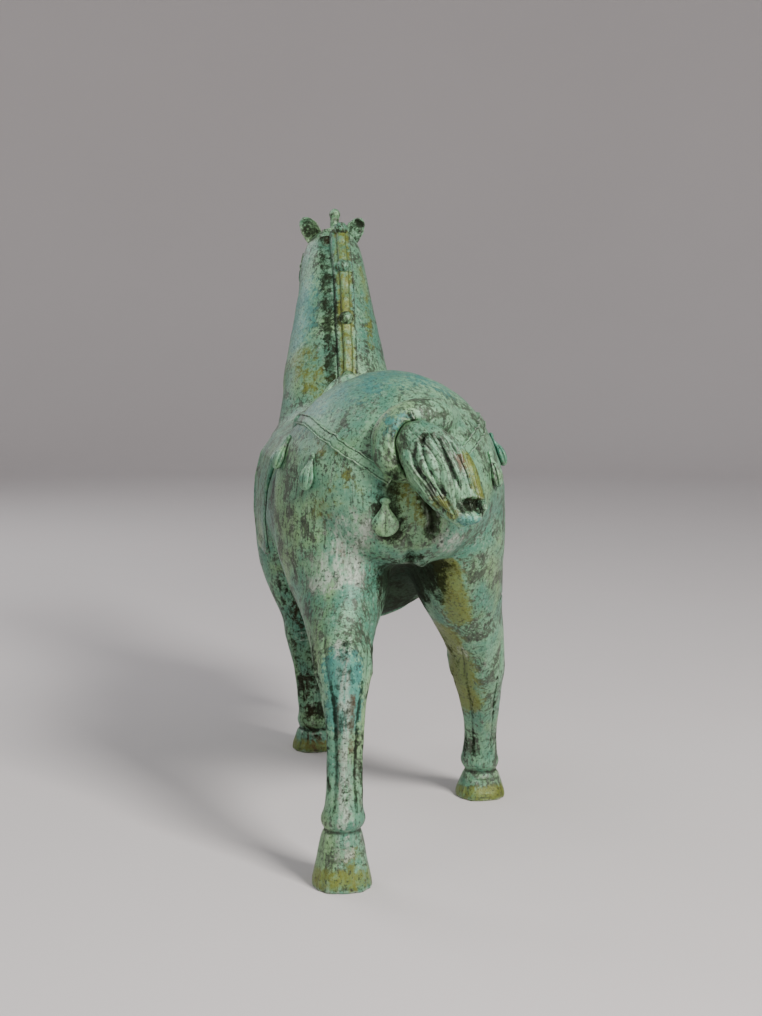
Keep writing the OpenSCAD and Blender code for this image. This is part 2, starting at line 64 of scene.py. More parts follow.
# The saddle pad is as wide on both sides of the horse's middle, and its rear edge is this
# far ahead of the widest part of the croup.
PAD_AHEAD = 78
pad_low, pad_high = box_mm("saddle_pad")
middle_x = (pad_low[0] + pad_high[0]) / 2
croup_y = pad_high[1] + PAD_AHEAD


def at(left, ahead, up):
    """A point in mm by its distance left of the middle, ahead of the croup, and height."""
    return np.array((middle_x + left, croup_y - ahead, up), float)


def row(*places):
    return np.array([at(*p) for p in places])


def unit(v):
    v = np.asarray(v, float)
    return v / np.linalg.norm(v)


def smooth_path(points, steps=8):
    """A Catmull-Rom curve through the points, steps to each span."""
    p = np.asarray(points, float)
    padded = np.vstack([2 * p[0] - p[1], p, 2 * p[-1] - p[-2]])
    out = []
    for i in range(len(p) - 1):
        a, b, c, d = padded[i:i + 4]
        for t in np.linspace(0, 1, steps, endpoint=False):
            out.append(0.5 * (2 * b + (c - a) * t + (2 * a - 5 * b + 4 * c - d) * t ** 2
                              + (3 * b - a - 3 * c + d) * t ** 3))
    return np.array(out + [p[-1]])


def even_path(points, gap):
    """The path with its points evenly spaced, about gap apart."""
    steps = np.linalg.norm(np.diff(points, axis=0), axis=1)
    along = np.concatenate([[0], np.cumsum(steps)])
    places = np.linspace(0, along[-1], max(3, int(round(along[-1] / gap)) + 1))
    return np.stack([np.interp(places, along, points[:, k]) for k in range(points.shape[1])], axis=1)


def ease(t, low=0.0, high=1.0):
    """0 below low, 1 above high, and an S curve between them."""
    t = np.clip((t - low) / (high - low), 0, 1)
    return t * t * (3 - 2 * t)


# ------------------------------------------------------------------ uneven surfaces

LATTICE = np.random.default_rng(7).random((32, 32, 32))


def lumps(points, size, octaves=2):
    """Smooth noise from -1 to 1 at each point, with lumps about size mm across."""
    total, scale, share = np.zeros(len(points)), 1.0 / size, 1.0
    for _ in range(octaves):
        p = points * scale + 100.37
        i = np.floor(p).astype(int)
        f = p - i
        f = f * f * (3 - 2 * f)
        value = np.zeros(len(points))
        for corner in range(8):
            step = np.array((corner & 1, corner >> 1 & 1, corner >> 2 & 1))
            weight = np.prod(np.where(step, f, 1 - f), axis=1)
            j = (i + step) % 32
            value += weight * LATTICE[j[:, 0], j[:, 1], j[:, 2]]
        total += share * (2 * value - 1)
        scale, share = scale * 2.1, share * 0.5
    return total


# ------------------------------------------------------------------ distance fields


class Field:
    """A grid of points, for keeping a skin as distances in mm to it, minus inside."""

    def __init__(self, low, high, step, band):
        self.step, self.band = step, band
        self.first = np.floor(np.asarray(low) / step).astype(int)
        self.shape = tuple(np.ceil(np.asarray(high) / step).astype(int) - self.first + 1)
        self.space = openvdb.createLinearTransform(step)
        self.corner = tuple(int(i) for i in self.first)

    def read(self, points, triangles):
        """The distances to a closed mesh."""
        level = openvdb.FloatGrid.createLevelSetFromPolygons(
            np.ascontiguousarray(points, np.float32),
            triangles=np.ascontiguousarray(triangles, np.uint32),
            transform=self.space, halfWidth=self.band / self.step)
        values = np.empty(self.shape, np.float32)
        level.copyToArray(values, ijk=self.corner)
        return values

    def read_node(self, node):
        """The distances to a CAD node."""
        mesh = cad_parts[node].data
        mesh.calc_loop_triangles()
        points = np.empty(len(mesh.vertices) * 3, np.float32)
        mesh.vertices.foreach_get("co", points)
        triangles = np.empty(len(mesh.loop_triangles) * 3, np.int32)
        mesh.loop_triangles.foreach_get("vertices", triangles)
        return self.read(points.reshape(-1, 3) / MM, triangles.reshape(-1, 3))

    def skin(self, values):
        """The closed mesh where the values are 0: its points in mm and its quads."""
        grid = openvdb.FloatGrid(self.band)
        grid.copyFromArray(np.clip(values, -self.band, self.band), ijk=self.corner, tolerance=1e-5)
        grid.transform = self.space
        points, quads = grid.convertToQuads(0.0)
        return points.astype(float), quads.astype(np.int64)

    def places(self, axis):
        """The grid's places along one axis, in mm, shaped to spread over the values."""
        line = (self.first[axis] + np.arange(self.shape[axis])) * self.step
        return line.reshape([-1 if i == axis else 1 for i in range(3)]).astype(np.float32)

    def look_up(self, values, points):
        """The value at the grid point nearest each point."""
        cell = np.rint(points / self.step).astype(int) - self.first
        cell = np.clip(cell, 0, np.array(self.shape) - 1)
        return values[cell[:, 0], cell[:, 1], cell[:, 2]]

    def taken_from(self, other, values):
        """The values of another grid that holds this one, read between its points."""
        for axis in range(3):
            p = (self.first[axis] + np.arange(self.shape[axis])) * self.step / other.step - other.first[axis]
            i = np.clip(np.floor(p).astype(int), 0, values.shape[axis] - 2)
            t = (p - i).astype(np.float32).reshape([-1 if k == axis else 1 for k in range(3)])
            values = np.take(values, i, axis) * (1 - t) + np.take(values, i + 1, axis) * t
        return values


def blurred(values, sigma):
    """The values softened by a bell curve sigma grid steps wide."""
    reach = int(math.ceil(2.5 * sigma))
    weights = np.exp(-0.5 * (np.arange(-reach, reach + 1) / sigma) ** 2)
    weights = (weights / weights.sum()).astype(np.float32)
    for axis in range(3):
        out = np.zeros_like(values)
        padded = np.pad(values, [(reach, reach) if i == axis else (0, 0) for i in range(3)], mode="edge")
        n = values.shape[axis]
        for k, w in enumerate(weights):
            out += w * padded[tuple(slice(k, k + n) if i == axis else slice(None) for i in range(3))]
        values = out
    return values


def filled(values):
    """The values with each hollow closed. A hollow is empty and walled in along all six directions."""
    solid = values <= 0
    walled = ~solid
    for axis in range(3):
        walled &= np.logical_or.accumulate(solid, axis)
        walled &= np.flip(np.logical_or.accumulate(np.flip(solid, axis), axis), axis)
    return np.where(walled, -values.max(), values)


def as_triangles(quads):
    return np.vstack([quads[:, [0, 1, 2]], quads[:, [0, 2, 3]]])


# ------------------------------------------------------------------ skins

# Colour masks on each piece. The dark one is painted shade as well as grime in cracks, and the pale one is
# painted highlights.
STAINS_AND_LIGHT = ("proud", "deep", "ochre", "rust", "dark", "pale", "teal")


class Skin:
    """A quad mesh that is being modelled, in mm, with the colour masks that its material shows: wear,
    mineral and verdigris marks, grime, painted shade and painted highlights.
    """

    def __init__(self, points, quads):
        self.points, self.quads = points, quads
        self.stains_and_light = {name: np.zeros(len(points)) for name in STAINS_AND_LIGHT}
        self.refresh()

    def refresh(self):
        """Works out the normals again."""
        p, q = self.points, self.quads
        across = np.cross(p[q[:, 2]] - p[q[:, 0]], p[q[:, 3]] - p[q[:, 1]])
        normals = np.zeros_like(p)
        for k in range(4):
            for axis in range(3):
                normals[:, axis] += np.bincount(q[:, k], across[:, axis], len(p))
        self.normals = normals / np.maximum(np.linalg.norm(normals, axis=1, keepdims=True), 1e-12)

    def tree(self):
        return BVHTree.FromPolygons(self.points.tolist(), self.quads.tolist())

    def raise_by(self, amount):
        self.points = self.points + self.normals * np.asarray(amount)[:, None]

    def averaged(self, values, rounds):
        """The values, one row to a point, after rounds of moving each halfway to its neighbours' mean."""
        a = self.quads.ravel()
        b = np.roll(self.quads, -1, axis=1).ravel()
        count = np.bincount(a, minlength=len(values)) + np.bincount(b, minlength=len(values))
        for _ in range(rounds):
            total = np.stack([np.bincount(a, column[b], len(values)) + np.bincount(b, column[a], len(values))
                              for column in values.T], axis=1)
            values = 0.5 * values + 0.5 * total / np.maximum(count, 1)[:, None]
        return values

    def find_wear(self, fine=3, broad=25, fine_mm=0.05, broad_mm=0.4):
        """Stains proud ridges and deep grooves, by how far the skin stands off its relaxed form."""
        self.refresh()
        for rounds, size in ((fine, fine_mm), (broad, broad_mm)):
            stand = np.sum((self.points - self.averaged(self.points, rounds)) * self.normals, axis=1)
            # What the whole neighbourhood shares is the form's own roundness, not wear
            stand = (stand - self.averaged(stand[:, None], 2 * rounds)[:, 0]) / size
            self.stains_and_light["proud"] += 0.5 * np.clip(stand, 0, 1.5)
            self.stains_and_light["deep"] += 0.5 * np.clip(-stand, 0, 1.5)


def path_distance(points, path):
    """Each point's distance to the path, and its share of the way along it."""
    best = np.full(len(points), 1e9)
    share = np.zeros(len(points))
    n = len(path) - 1
    for i in range(n):
        a, d = path[i], path[i + 1] - path[i]
        t = np.clip((points - a) @ d / max(d @ d, 1e-12), 0, 1)
        gap = np.linalg.norm(points - a - t[:, None] * d, axis=1)
        near = gap < best
        best[near] = gap[near]
        share[near] = (i + t[near]) / n
    return best, share


def near_path(skin, path, reach):
    low, high = path.min(0) - reach, path.max(0) + reach
    return np.flatnonzero(np.all((skin.points > low) & (skin.points < high), axis=1))


def stroke(skin, path, width, height, taper=0.2, tight=2):
    """Raises the skin along a path, or grooves it with a height under 0."""
    near = near_path(skin, path, 2.5 * width)
    gap, share = path_distance(skin.points[near], path)
    amount = height * np.exp(-(gap / width) ** tight)
    if taper:
        amount *= ease(share, 0, taper) * ease(1 - share, 0, taper)
    skin.points[near] += skin.normals[near] * amount[:, None]


def stain_and_light(skin, name, path, radius, strength=1.0, facing=None):
    """Marks the skin round a path or a point, and only where it faces one way if that is given. It lays real
    marks and also painted shade and painted highlights.
    """
    path = np.atleast_2d(path)
    path = np.vstack([path, path[-1:]])
    near = near_path(skin, path, 2 * radius)
    gap, _ = path_distance(skin.points[near], path)
    amount = strength * (1 - ease(gap, 0.35 * radius, 1.3 * radius))
    if facing is not None:
        amount *= ease(skin.normals[near] @ unit(facing), -0.1, 0.45)
    skin.stains_and_light[name][near] = np.maximum(skin.stains_and_light[name][near], amount)


def pinned(tree, path, gap=2.0):
    """The path moved to the nearest places on a skin."""
    return np.array([tree.find_nearest(Vector(p))[0] for p in even_path(np.asarray(path, float), gap)])


def hit(tree, start, towards):
    """Where a ray first meets a skin, and the normal there."""
    place, normal, _, _ = tree.ray_cast(Vector(start), Vector(unit(np.asarray(towards) - start)))
    return (None, None) if place is None else (np.array(place), np.array(normal))


# ------------------------------------------------------------------ the castings

CASTINGS = ["torso_shell", "neck_shell", "head_casting",
            "leg_hind_left", "leg_hind_right", "leg_front_left", "leg_front_right"]
BAND = 6.0          # how far from a skin its distances are kept, in mm
SWELL = 0.6         # castings that touch are merged by swelling them this much first
SOLE_KEPT = 2.5     # the sole's edge stays sharp because the hoof is drawn on below this height

step = 0.85
boxes = [box_mm(n) for n in CASTINGS]
field = Field(np.min([b[0] for b in boxes], axis=0) - BAND, np.max([b[1] for b in boxes], axis=0) + BAND,
              step, BAND)


def castings_skin():
    """The outer skin of all the castings together, and the index of the casting each place belongs to."""
    merged = np.full(field.shape, BAND, np.float32)
    owner = np.zeros(field.shape, np.int8)
    for i, node in enumerate(CASTINGS):
        values = field.read_node(node)
        owner[values < merged] = i
        np.minimum(merged, values, out=merged)
    points, quads = field.skin(filled(merged - SWELL))
    values = field.read(points, as_triangles(quads)) + SWELL
    k = int(np.searchsorted(field.places(2).ravel(), SOLE_KEPT))
    values[:, :, :k] = values[:, :, k:k + 1]
    soft = blurred(values, 1.1 / step)
    softer = blurred(values, 2.6 / step)
    # The trunk and thighs are fleshy, and the legs and the head are crisp
    up, back = field.places(2), field.places(1)
    crisp = np.maximum(1 - ease(up, 70, 125), ease(up, 300, 325) * (back < croup_y - 240))
    values = soft * crisp + softer * (1 - crisp)
    return np.maximum(values, -up), owner


body_values, owner = castings_skin()
body = Skin(*field.skin(body_values))
rough_tree = body.tree()


def leg_point(axis, up, angle):
    """A place on a leg's skin at a height: angle 0 is behind it, and 90 is on its left."""
    heights = np.array([p[2] for p in axis])[::-1]
    left = np.interp(up, heights, np.array([p[0] for p in axis])[::-1])
    ahead = np.interp(up, heights, np.array([p[1] for p in axis])[::-1])
    a = math.radians(angle)
    centre = at(left, ahead, up)
    outward = np.array((math.sin(a), math.cos(a), 0))
    place, _ = hit(rough_tree, centre + outward * 26, centre)
    return centre if place is None else place


def leg_path(axis, high, low, angle_high, angle_low=None, n=14):
    angle_low = angle_high if angle_low is None else angle_low
    return np.array([leg_point(axis, high + (low - high) * t, angle_high + (angle_low - angle_high) * t)
                     for t in np.linspace(0, 1, n)])


def leg_ring(axis, up, n=24, tilt=0):
    """A ring round a leg; tilt lowers its front."""
    return np.array([leg_point(axis, up + tilt * math.cos(math.radians(a)), a)
                     for a in np.linspace(0, 360, n + 1)])


HIND_LEFT = [(32.5, -22, 130), (33.5, -36, 116), (34, -47, 103), (34.5, -53, 91), (35, -57, 76),
             (35.5, -59, 58), (36, -61, 44), (36.5, -62, 35), (37, -61, 29), (37, -61, 0)]
HIND_RIGHT = [(-42, 31, 136), (-49, 38, 116), (-54.5, 45, 100), (-57, 49, 84), (-59.5, 55, 69),
              (-62, 62, 54), (-63.5, 69, 42), (-64.7, 74, 30), (-65.5, 77, 18), (-65.6, 77, 0)]
FRONT_LEFT = [(35.5, 203, 128), (31.5, 200, 106), (28.5, 199, 90), (26.5, 199, 78), (25, 199, 66),
              (23, 198, 52), (21.5, 198, 41), (20, 198.5, 28), (19, 199.5, 16), (18.6, 200, 0)]


def model_leg(axis, hock, ledge, hind):
    """Tendons, joint and hoof edges of one standing leg. hock and ledge are heights."""
    fetlock = ledge + 9
    for angle, height, width in ((8, 0.8, 2.6), (68, 0.6, 2.2), (-62, 0.6, 2.2)):
        stroke(body, leg_path(axis, hock - 12, fetlock, angle), width, height)
    for angle in (34, -26):
        stroke(body, leg_path(axis, hock - 4, fetlock - 2, angle, angle * 1.15), 1.5, -0.8, taper=0.3)
    for angle in (110, -115):
        stroke(body, leg_path(axis, hock - 16, fetlock, angle), 2.0, -0.4, taper=0.35)
    if hind:
        # The point of the hock, and the tendon that rises from it
        stroke(body, leg_path(axis, hock + 4, hock - 4, 2), 4.2, 1.3, taper=0)
        stroke(body, leg_path(axis, hock + 26, hock + 2, -6, 2), 2.4, 1.0)
        for side in (1, -1):
            stroke(body, leg_path(axis, hock + 24, hock - 6, side * 34 - 8, side * 40), 1.8, -0.9)
            stroke(body, leg_path(axis, hock + 10, hock - 6, side * 92), 4.0, 0.7)
    else:
        stroke(body, leg_path(axis, hock + 8, hock - 8, 180), 5, 1.0)
        stroke(body, leg_path(axis, hock + 4, hock - 4, 4), 3.4, 0.9)
    # The fetlock bulges and ends in a ledge over the pastern or the hoof
    stroke(body, leg_ring(axis, ledge + 4.5), 3.4, 0.9, taper=0)
    stroke(body, leg_ring(axis, ledge - 0.6), 1.4, -0.8, taper=0)
    for side in (1, -1):
        # The heels, and the edges where the hoof's back turns into its sides
        stroke(body, leg_path(axis, ledge * 0.55, 1, side * 34), 3.2, 0.9, taper=0)
        stroke(body, leg_path(axis, ledge * 0.9, 1, side * 52, side * 58), 1.4, 0.5, taper=0)
    stroke(body, leg_path(axis, ledge * 0.8, 0.5, 2), 3.6, -0.7, taper=0.1)


model_leg(HIND_LEFT, hock=106, ledge=30, hind=True)
model_leg(HIND_RIGHT, hock=84, ledge=17, hind=True)
model_leg(FRONT_LEFT, hock=78, ledge=15, hind=False)


def on_body(*places, gap=2.0):
    """A smooth path over the castings through places given as left, ahead and up."""
    return pinned(rough_tree, smooth_path(row(*places)), gap)


# Thighs and buttocks
for side in (1, -1):
    stroke(body, on_body((side * 12, -40, 176), (side * 20, -34, 160), (side * 27, -22, 142)), 7, 1.2)
    stroke(body, on_body((side * 52, 6, 200), (side * 54, 8, 175), (side * 52, 4, 150)), 10, 1.0)
    stroke(body, on_body((side * 58, 34, 190), (side * 55, 40, 165), (side * 50, 40, 140)), 4, -0.9)
    # The flank's hollow and the stifle
    stroke(body, on_body((side * 50, 66, 190), (side * 50, 62, 165), (side * 46, 58, 138)), 8, -1.6)
    # The shoulder blade and the muscle over the upper arm
    stroke(body, on_body((side * 40, 196, 216), (side * 50, 214, 190), (side * 52, 226, 168)), 7, 1.6)
    stroke(body, on_body((side * 44, 186, 214), (side * 54, 196, 186), (side * 52, 196, 160)), 3, -1.0)
    stroke(body, on_body((side * 36, 236, 196), (side * 30, 246, 176), (side * 26, 244, 158)), 7, 1.6)
    # The jugular groove and the muscle over it
    stroke(body, on_body((side * 24, 246, 214), (side * 20, 264, 250), (side * 15, 276, 286)), 3, -1.0)
    stroke(body, on_body((side * 36, 222, 230), (side * 30, 238, 262), (side * 22, 252, 300)), 8, 1.0)
# The breastbone's groove, the belly's line and the crotch
stroke(body, on_body((0, 256, 196), (0, 258, 176), (0, 244, 152)), 2.6, -1.6)
stroke(body, on_body((2, -46, 176), (0, -44, 164), (-2, -34, 156)), 3, -1.8)
stroke(body, on_body((-8, -48, 192), (-11, -46, 182), (-10, -43, 174)), 2.4, -2.4)
stroke(body, on_body((-3, -40, 158), (-8, -34, 154), (-12, -24, 148)), 3.5, 2.2)
stroke(body, on_body((-1, -36, 155), (-5, -28, 151), (-9, -18, 146)), 2.2, -2.0)
body.refresh()

# The face
HEAD_LEFT = -3      # the head's middle is this far left of the horse's


def on_face(*places, gap=1.5):
    return on_body(*[(HEAD_LEFT + p[0], p[1], p[2]) for p in places], gap=gap)


# The lids' half length and half height, and the ways they run along the slanting head
EYE_LONG, EYE_HIGH = 5.2, 3.4
EYE_DOWN, EYE_UP = unit((0, -0.78, -0.62)), unit((0, -0.62, 0.78))

for side in (1, -1):
    eye = at(HEAD_LEFT + side * 18, 277, 315)
    ring = np.array([eye + EYE_LONG * math.cos(a) * EYE_DOWN + EYE_HIGH * math.sin(a) * EYE_UP
                     for a in np.linspace(0, 2 * math.pi, 20)])
    lids = pinned(rough_tree, ring, 1.0)
    stroke(body, lids, 1.4, 0.7, taper=0)
    stroke(body, on_face((side * 18, 276, 315), (side * 18, 278, 315)), 3.0, 1.0, taper=0)
    stroke(body, pinned(rough_tree, ring * 0.72 + eye * 0.28, 1.0), 0.8, -0.5, taper=0)
    # Brow, facial crest, cheek and jaw
    stroke(body, on_face((side * 15, 268, 327), (side * 16, 276, 324), (side * 15, 284, 318)), 2.6, 1.3)
    stroke(body, on_face((side * 17, 281, 305), (side * 14, 288, 290), (side * 12, 294, 278)), 1.8, 1.0)
    cheek = on_face((side * 18, 262, 312), (side * 19, 258, 300), (side * 17, 264, 288),
                    (side * 15, 274, 282))
    stroke(body, cheek, 2.6, -0.7)
    stroke(body, on_face((side * 18, 268, 303), (side * 17, 272, 298)), 7, 1.0, taper=0)
    # Nostril, mouth and chin
    nostril = on_face((side * 9, 308, 262), (side * 10.5, 306.5, 259), (side * 10, 308, 256))
    stroke(body, nostril, 1.8, -1.5, taper=0)
    wing = on_face((side * 9.5, 305, 265), (side * 12, 303.5, 260), (side * 11.5, 305, 254.5))
    stroke(body, wing, 1.5, 1.1)
    mouth = on_face((side * 2, 309, 246.5), (side * 9, 304, 248.5), (side * 12.5, 296, 253),
                    (side * 13, 289, 258))
    stroke(body, mouth, 1.1, -1.1, taper=0.1)
    stroke(body, on_face((side * 9, 306, 251), (side * 13, 297, 256)), 1.6, 0.7)
stroke(body, on_face((0, 282, 318), (0, 293, 296), (0, 303, 276)), 3.5, 0.8)
stroke(body, on_face((0, 311, 258), (0, 311, 250)), 1.2, -0.8)

# The surface was scraped and brushed by hand in the wax
body.refresh()
body.raise_by(0.35 * lumps(body.points, 16) + 0.10 * lumps(body.points, 5))


def crack(path, width=0.7, depth=0.9):
    """A thin, deep scratch, dark inside."""
    stroke(body, path, width, -depth, taper=0.1)
    stain_and_light(body, "dark", path, width * 2.0, 0.9)


crack(on_body((30, 232, 262), (28, 236, 268), (22, 238, 271), (16, 236, 270)))
crack(on_body((35, 226, 240), (36, 222, 232), (36, 218, 222)))
crack(on_body((-24, 232, 266), (-26, 228, 252)))
crack(on_body((-60, 40, 128), (-52, 28, 130), (-44, 24, 131)))
body.points[:, 2] = np.maximum(body.points[:, 2], 0)
body.find_wear()
body_tree = body.tree()

# ------------------------------------------------------------------ tubes, bands and small casts


def frames_along(path, up):
    """At each point of a path: its direction, the way across it, and the way out that is nearest up."""
    along = np.gradient(path, axis=0)
    along /= np.maximum(np.linalg.norm(along, axis=1, keepdims=True), 1e-9)
    up = np.broadcast_to(np.asarray(up, float), path.shape)
    across = np.cross(along, up)
    across /= np.maximum(np.linalg.norm(across, axis=1, keepdims=True), 1e-9)
    return along, across, np.cross(across, along)


def lofted(rings):
    """A closed skin through rings of points, with quads between each end ring's halves to close it."""
    rows, n = rings.shape[:2]
    i, k = np.meshgrid(np.arange(rows - 1), np.arange(n), indexing="ij")
    m = (k + 1) % n
    walls = np.stack([i * n + k, (i + 1) * n + k, (i + 1) * n + m, i * n + m], axis=-1).reshape(-1, 4)
    j = np.arange(n // 2 - 1)
    near = np.stack([j, j + 1, n - 2 - j, n - 1 - j], axis=1)
    return Skin(rings.reshape(-1, 3), np.vstack([walls, near, near[:, ::-1] + (rows - 1) * n]))


def tube(path, up, rings, n):
    """A closed tube. rings(t, angle) gives each ring's reach across and out, for t from 0 to 1."""
    _, across, out = frames_along(path, up)
    t = np.linspace(0, 1, len(path))[:, None]
    angle = np.linspace(0, 2 * math.pi, n, endpoint=False)[None, :]
    wide, high = rings(t, angle)
    return lofted(path[:, None] + across[:, None] * wide[..., None] + out[:, None] * high[..., None])


def joined(skins):
    """Several skins as one."""
    out = skins[0]
    for s in skins[1:]:
        shift = len(out.points)
        stains_and_light = {k: np.concatenate([out.stains_and_light[k], s.stains_and_light[k]]) for k in STAINS_AND_LIGHT}
        out = Skin(np.vstack([out.points, s.points]), np.vstack([out.quads, s.quads + shift]))
        out.stains_and_light = stains_and_light
    return out


def node_islands(node):
    """The middle of each separate solid in a CAD node, in mm."""
    mesh = bmesh.new()
    mesh.from_mesh(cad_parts[node].data)
    bmesh.ops.remove_doubles(mesh, verts=mesh.verts, dist=1e-6)
    left, middles = set(mesh.verts), []
    while left:
        group, todo = [], [left.pop()]
        while todo:
            v = todo.pop()
            group.append(v.co)
            for edge in v.link_edges:
                other = edge.other_vert(v)
                if other in left:
                    left.remove(other)
                    todo.append(other)
        low = np.min(group, axis=0)
        high = np.max(group, axis=0)
        middles.append((low + high) / 2 / MM)
    mesh.free()
    return sorted(middles, key=lambda p: (round(p[0]), p[1]))


def on_skin(tree, place):
    """The nearest place on a skin, and its normal."""
    near, normal, _, _ = tree.find_nearest(Vector(place))
    return np.array(near), np.array(normal)


def band(path, width, thick, tree, edge=0.35, sunk=0.8):
    """A strap laid on a skin: a flat band with a raised border along each edge."""
    path = even_path(np.asarray(path, float), 0.9)
    seats = [on_skin(tree, p) for p in path]
    middles = np.array([s[0] for s in seats])
    normals = np.array([s[1] for s in seats])
    for _ in range(6):
        normals[1:-1] = normals[:-2] + normals[1:-1] * 2 + normals[2:]
    normals /= np.linalg.norm(normals, axis=1, keepdims=True)
    _, across, out = frames_along(middles, normals)
    s = np.concatenate([[1.04], np.linspace(1, -1, 23), [-1.04]])
    # A border ridge near each edge, a groove inside it, and a flat middle
    profile = thick * (0.8 + edge * np.exp(-((np.abs(s) - 0.84) / 0.10) ** 2)
                       - 0.7 * edge * np.exp(-((np.abs(s) - 0.62) / 0.07) ** 2))
    profile *= 0.4 + 0.6 * ease(1.0 - np.abs(s), -0.001, 0.09)
    profile[0] = profile[-1] = -sunk
    rings = np.empty((len(path), 2 * len(s), 3))
    for i, (middle, side, normal) in enumerate(zip(middles, across, out)):
        for k, share in enumerate(s):
            start = middle + side * share * width / 2
            place, _ = hit(tree, start + normal * 7, start - normal * 9)
            if place is None or np.linalg.norm(place - start) > 5:
                place = start
            rings[i, k] = place + normal * profile[k]
            rings[i, 2 * len(s) - 1 - k] = place - normal * (sunk + 0.3)
    return lofted(rings)


def dome(tree, place, radius, height, rim=0.25, petals=0):
    """A round boss on a skin: a dome with a collar, and petals if asked."""
    seat, normal = on_skin(tree, place)
    rows = 20
    path = seat + normal * np.linspace(-1.0, height, rows)[:, None]

    def rings(t, angle):
        up = t * (height + 1.0) - 1.0
        ball = radius * (1 - rim) * np.sqrt(np.clip(1 - (np.clip(up, 0, None) / height) ** 2, 0.0004, 1))
        collar = radius * (1 - 0.25 * ease(up, 0.15, height * 0.32))
        reach = np.where(up < height * 0.3, np.maximum(collar, ball), ball)
        reach = reach * (1 + 0.07 * np.cos(petals * angle) * (petals > 0))
        return reach * np.cos(angle), reach * np.sin(angle)
    return tube(path, unit(np.cross(normal, (0.3, 0.2, 1))), rings, 36)


def drop(tree, place, length, lobes=5, width=1.0):
    """A ribbed drop that hangs against a skin from a bead."""
    seat, normal = on_skin(tree, place)
    down = unit(np.array((0, 0, -1.0)) + normal * normal[2])
    top = seat - down * length / 2
    top, _ = on_skin(tree, top)
    foot, _ = on_skin(tree, seat + down * length / 2)
    down = unit(foot - top)
    out = unit(normal - down * (normal @ down))
    t = np.linspace(0, 1, 64)
    depth = 1.2 + 1.3 * ease(t, 0.15, 0.6)
    path = top + down * (t * length)[:, None] + out * depth[:, None]

    def rings(t, angle):
        # A bead at the top, a neck, and a swelling body with a round foot
        bead = 1.9 * np.sqrt(np.clip(1 - ((t - 0.09) / 0.095) ** 2, 0, 1))
        s = np.clip((t - 0.16) / 0.84, 0, 1)
        body_r = 4.9 * np.sqrt(np.clip(1 - ((s - 0.62) / 0.385) ** 2, 0, 1)) ** 0.9
        body_r = np.where(s < 0.62, 1.1 + 3.8 * ease(s, 0, 0.62), body_r)
        reach = np.maximum(np.where(t < 0.19, bead, 0), np.where(s > 0, body_r, 0))
        reach = np.maximum(reach, 0.15)
        groove = np.abs(np.cos(lobes * (angle - math.pi / 2) / 2)) ** 6
        ribs = 1 - 0.30 * ease(s, 0.05, 0.3) * (1 - ease(s, 0.88, 1)) * groove
        return width * reach * ribs * np.cos(angle), 0.62 * reach * ribs * np.sin(angle)

    return tube(path, out, rings, 60)


# ------------------------------------------------------------------ the tail


def cast_piece(nodes, fine, soft_mm, skirt=0.0, swell=0.0):
    """The skin of a few CAD nodes, softened. A skirt lets it flow into the castings under it."""
    room = 4.0
    found = [box_mm(n) for n in nodes]
    grid = Field(np.min([b[0] for b in found], axis=0) - room, np.max([b[1] for b in found], axis=0) + room,
                 fine, room)
    own = np.full(grid.shape, room, np.float32)
    for n in nodes:
        np.minimum(own, grid.read_node(n) - swell, out=own)
    values = own
    if skirt:
        values = np.minimum(own, grid.taken_from(field, body_values))
    values = blurred(values, soft_mm / fine) + swell
    if skirt:
        sunk = 0.10 * np.clip(own, 0, None) ** 1.5
        values = np.maximum(values + sunk, own - skirt)
    return Skin(*grid.skin(values))


fine_step = 0.5
coil = cast_piece(["tail_coil"], fine_step, 1.3, skirt=1.0)
# Creases where the bound tail turns
coil_tree = coil.tree()


def on_coil(*places):
    return pinned(coil_tree, smooth_path(row(*places)), 0.8)


for path, width, height in (
        (((2, -62, 240), (0, -64, 233), (-3, -66, 227)), 0.8, 0.9),
        (((4, -62, 240), (2, -64, 234), (-1, -66, 229)), 0.8, -0.9),
        (((5, -62, 233), (1, -64, 236), (-2, -64, 238)), 0.8, -0.8),
        (((14, -66, 227), (11, -68, 221), (8, -68, 223)), 0.8, -0.9),
        (((10, -68, 217), (6, -68, 214), (3, -68, 216)), 0.8, -0.8),
        (((20, -58, 222), (15, -66, 212), (6, -68, 206)), 1.4, -0.7),
        (((-8, -60, 239), (-12, -62, 233), (-14, -62, 226)), 1.2, -0.6)):
    stroke(coil, on_coil(*path), width, height, taper=0.25)
coil.refresh()
coil.raise_by(0.25 * lumps(coil.points, 9))


